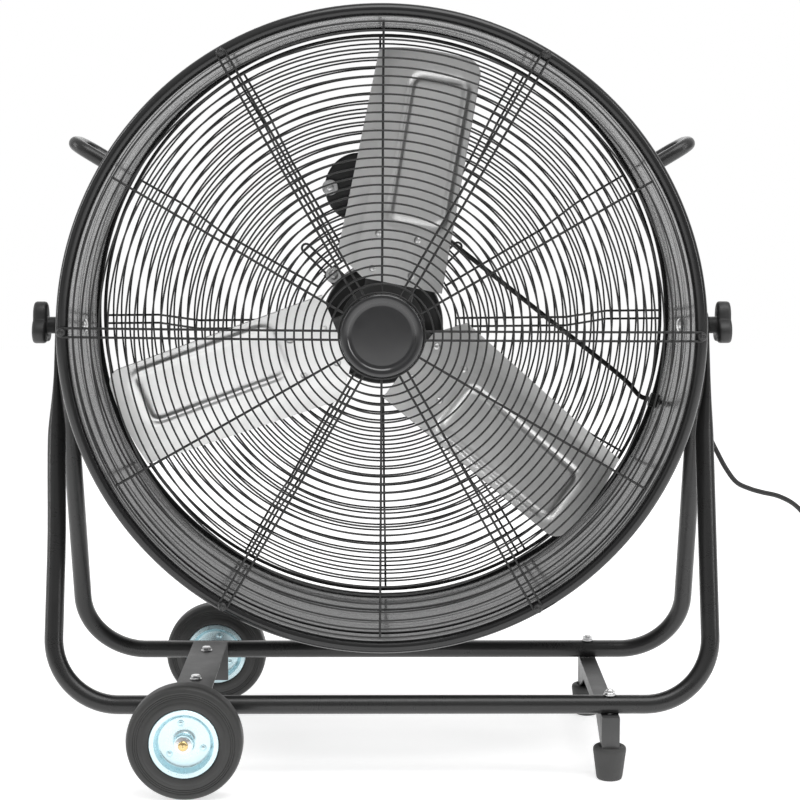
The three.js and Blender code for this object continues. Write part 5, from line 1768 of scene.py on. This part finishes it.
    def _cup(self) -> Form:
        """The rear rubber foot, on the origin."""
        profile = [(0, 0), (14.5, 0), (15.8, 0.5), (16.9, 1.8), (17.6, 5), (21.6, 36), (22, 39.5), (21.6, 42.4)]
        profile += [(20.3, 44.2), (18.5, 45), (14.6, 45), (14.0, 44.4), (14.0, 24), (0, 24)]
        cup = revolve(profile, 56).along_z()
        return cup.join(block(-13.4, -12.1, -7, 13, 22, 44.6), block(12.1, 13.4, -7, 13, 22, 44.6))

    def _foot_bolt(self) -> Form:
        """A bolt through a base tube and the channel, with its washer and nut."""
        top = self.base_height + self.tube / 2 + 0.3
        under = self.base_height - self.tube / 2 - 0.3 - 2.5 - 0.3
        nut = hexagon(7, top + 0.2, top + 6)
        ring = [(7.8, top), (8.4, top + 0.4), (8.4, top + 1.0), (7.8, top + 1.3)]
        washer = revolve([(0, top), *ring, (0, top + 1.3)], 32)
        shank = revolve([(0, under - 2), (4, under - 2), (4, top + 7.4), (3.4, top + 8), (0, top + 8)], 20)
        return nut.join(washer, shank, hexagon(7, under - 5, under)).along_z()


# ---- Wheels and knobs ----


@dataclass(frozen=True)
class Wheel:
    """One rolling wheel.

    Attributes:
        name: front or rear.
        body: That it is.
        side: -1 in front and 1 behind.
    """

    name: str
    body: Body
    side: int
    x: float = WHEEL_X
    mid_y: float = 237.0
    height: float = WHEEL_HEIGHT

    def build(self) -> None:
        """Makes the tyre and the rim."""
        tyre, rim = self._tyre(), self._rim()
        if self.side < 0:
            tyre.turned("Z", 180)
            rim.turned("Z", 180)
        y = self.side * self.mid_y
        MAKER.piece(f"tyre_{self.name}_rubber", tyre.moved(self.x, y, self.height), TYRE_RUBBER, self.body,
                    [f"tyre_{self.name}"], sharp=60)
        finish = rim_finish(f"rim_zinc_{self.name}", (self.x * MM, 0.0, self.height * MM))
        MAKER.piece(f"rim_{self.name}_zinc", rim.moved(self.x, y, self.height), finish, self.body,
                    [f"rim_{self.name}"], sharp=40)

    @staticmethod
    def _tyre() -> Form:
        """The tyre with its moulded lines, about the origin."""
        half = [(45.3, 16.4), (46.0, 17.6), (48.0, 18.4), (52.0, 18.5), (54.2, 18.3), (55.0, 17.5), (56.0, 17.3)]
        for radius in (60.5, 63.0, 65.5):  # moulded lines
            half += [(radius - 0.8, 17.2), (radius - 0.2, 16.6), (radius + 0.4, 17.2)]
        half += [(68.0, 17.4), (69.2, 16.6), (70.2, 16.8), (72.0, 15.6), (73.8, 13.2), (74.8, 10.0), (75.0, 7.0)]
        other = [(radius, -y) for radius, y in half]
        return revolve([*other, *reversed(half)], 128)

    @staticmethod
    def _rim() -> Form:
        """The dished rim with three rivets on each face, about the origin."""
        dish = [(12.4, 21.0), (11.6, 20.6), (12.2, 19.0), (12.5, 8.5), (14.5, 6.4), (17, 6.0), (31.5, 6.0), (33.6, 6.6)]
        dish += [(34.6, 8.0), (37.6, 15.8), (38.6, 17.2), (42.0, 17.6), (44.2, 17.8), (45.0, 17.0)]
        other = [(radius, -y) for radius, y in dish]
        bore = [(6.3, -20.4), (6.9, -21.0), *other, *reversed(dish), (6.9, 21.0), (6.3, 20.4)]
        rim = revolve(bore, 112)
        head = [(0, 7.6), (2.2, 7.55), (2.9, 7.1), (3.2, 7.4), (3.8, 7.4), (4.2, 6.9), (4.3, 5.9), (0, 5.9)]
        rivets = repeated(revolve(head, 24), 6)
        for index, rivet in enumerate(rivets):
            if index > 2:
                rivet.turned("Z", 180)
            rivet.moved(x=25.0).to_angle(180 - (100, -18, 219)[index % 3])
        return rim.join(*rivets)


@dataclass(frozen=True)
class ClampKnob:
    """A three-lobed knob on a pivot bolt."""

    side: str
    body: Body
    start: float = 446.3
    collar_radius: float = 11.5
    collar_length: float = 11.5
    lobe_reach: float = 32.5
    waist: float = 19.0
    lobe_power: float = 0.7  # below 1 the lobes are broad
    thickness: float = 18.0

    def build(self) -> None:
        """Makes the knob."""
        inner = self.start + self.collar_length
        outer = inner + self.thickness
        rounding = [(0.90, inner), (0.97, inner + 1.2), (1.0, inner + 3.2), (1.0, outer - 4.2)]
        rounding += [(0.975, outer - 1.8), (0.93, outer - 0.6), (0.86, outer)]
        knob = skin([[(x, y * share, z * share) for y, z in self._outline()] for share, x in rounding], around=True)
        r, start = self.collar_radius, self.start
        collar = [(5.3, start), (r - 0.8, start), (r, start + 0.8), (r, inner - 1.5), (r + 1.5, inner + 0.5)]
        knob.join(revolve([*collar, (5.3, inner + 0.5)], 48).along_x())
        boss = revolve([(0, outer - 0.4), (12, outer - 0.4), (11.4, outer - 0.02), (0, outer - 0.02)], 40).along_x()
        knob.join(boss)
        if self.side == "left":
            knob.turned("Z", 180)
        MAKER.piece(f"knob_{self.side}_grip", knob.moved(z=AXIS_HEIGHT), KNOB_PLASTIC, self.body,
                    [f"knob_{self.side}"], sharp=45)

    def _outline(self) -> list[tuple[float, float]]:
        """The three lobes, seen along the knob's axis."""
        out = []
        for k in range(120):
            turn = 2 * math.pi * k / 120
            swell = (1 + math.cos(3 * turn)) / 2
            reach = self.waist + (self.lobe_reach - self.waist) * swell**self.lobe_power
            out.append((reach * math.sin(turn), reach * math.cos(turn)))
        return out


def main() -> None:
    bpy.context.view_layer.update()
    Studio().build()
    Cord().build()
    for part in (Drum(), FrontGuard(), RearGuard(), Fan(), Motor(), Controls(), Stand()):
        part.build()
    Wheel("front", Body.WHEEL_FRONT, -1).build()
    Wheel("rear", Body.WHEEL_REAR, 1).build()
    ClampKnob("left", Body.KNOB_LEFT).build()
    ClampKnob("right", Body.KNOB_RIGHT).build()
    log.info("%d pieces, %d materials", MAKER.count, len(PAINTER.made))


if __name__ == "__main__":
    main()
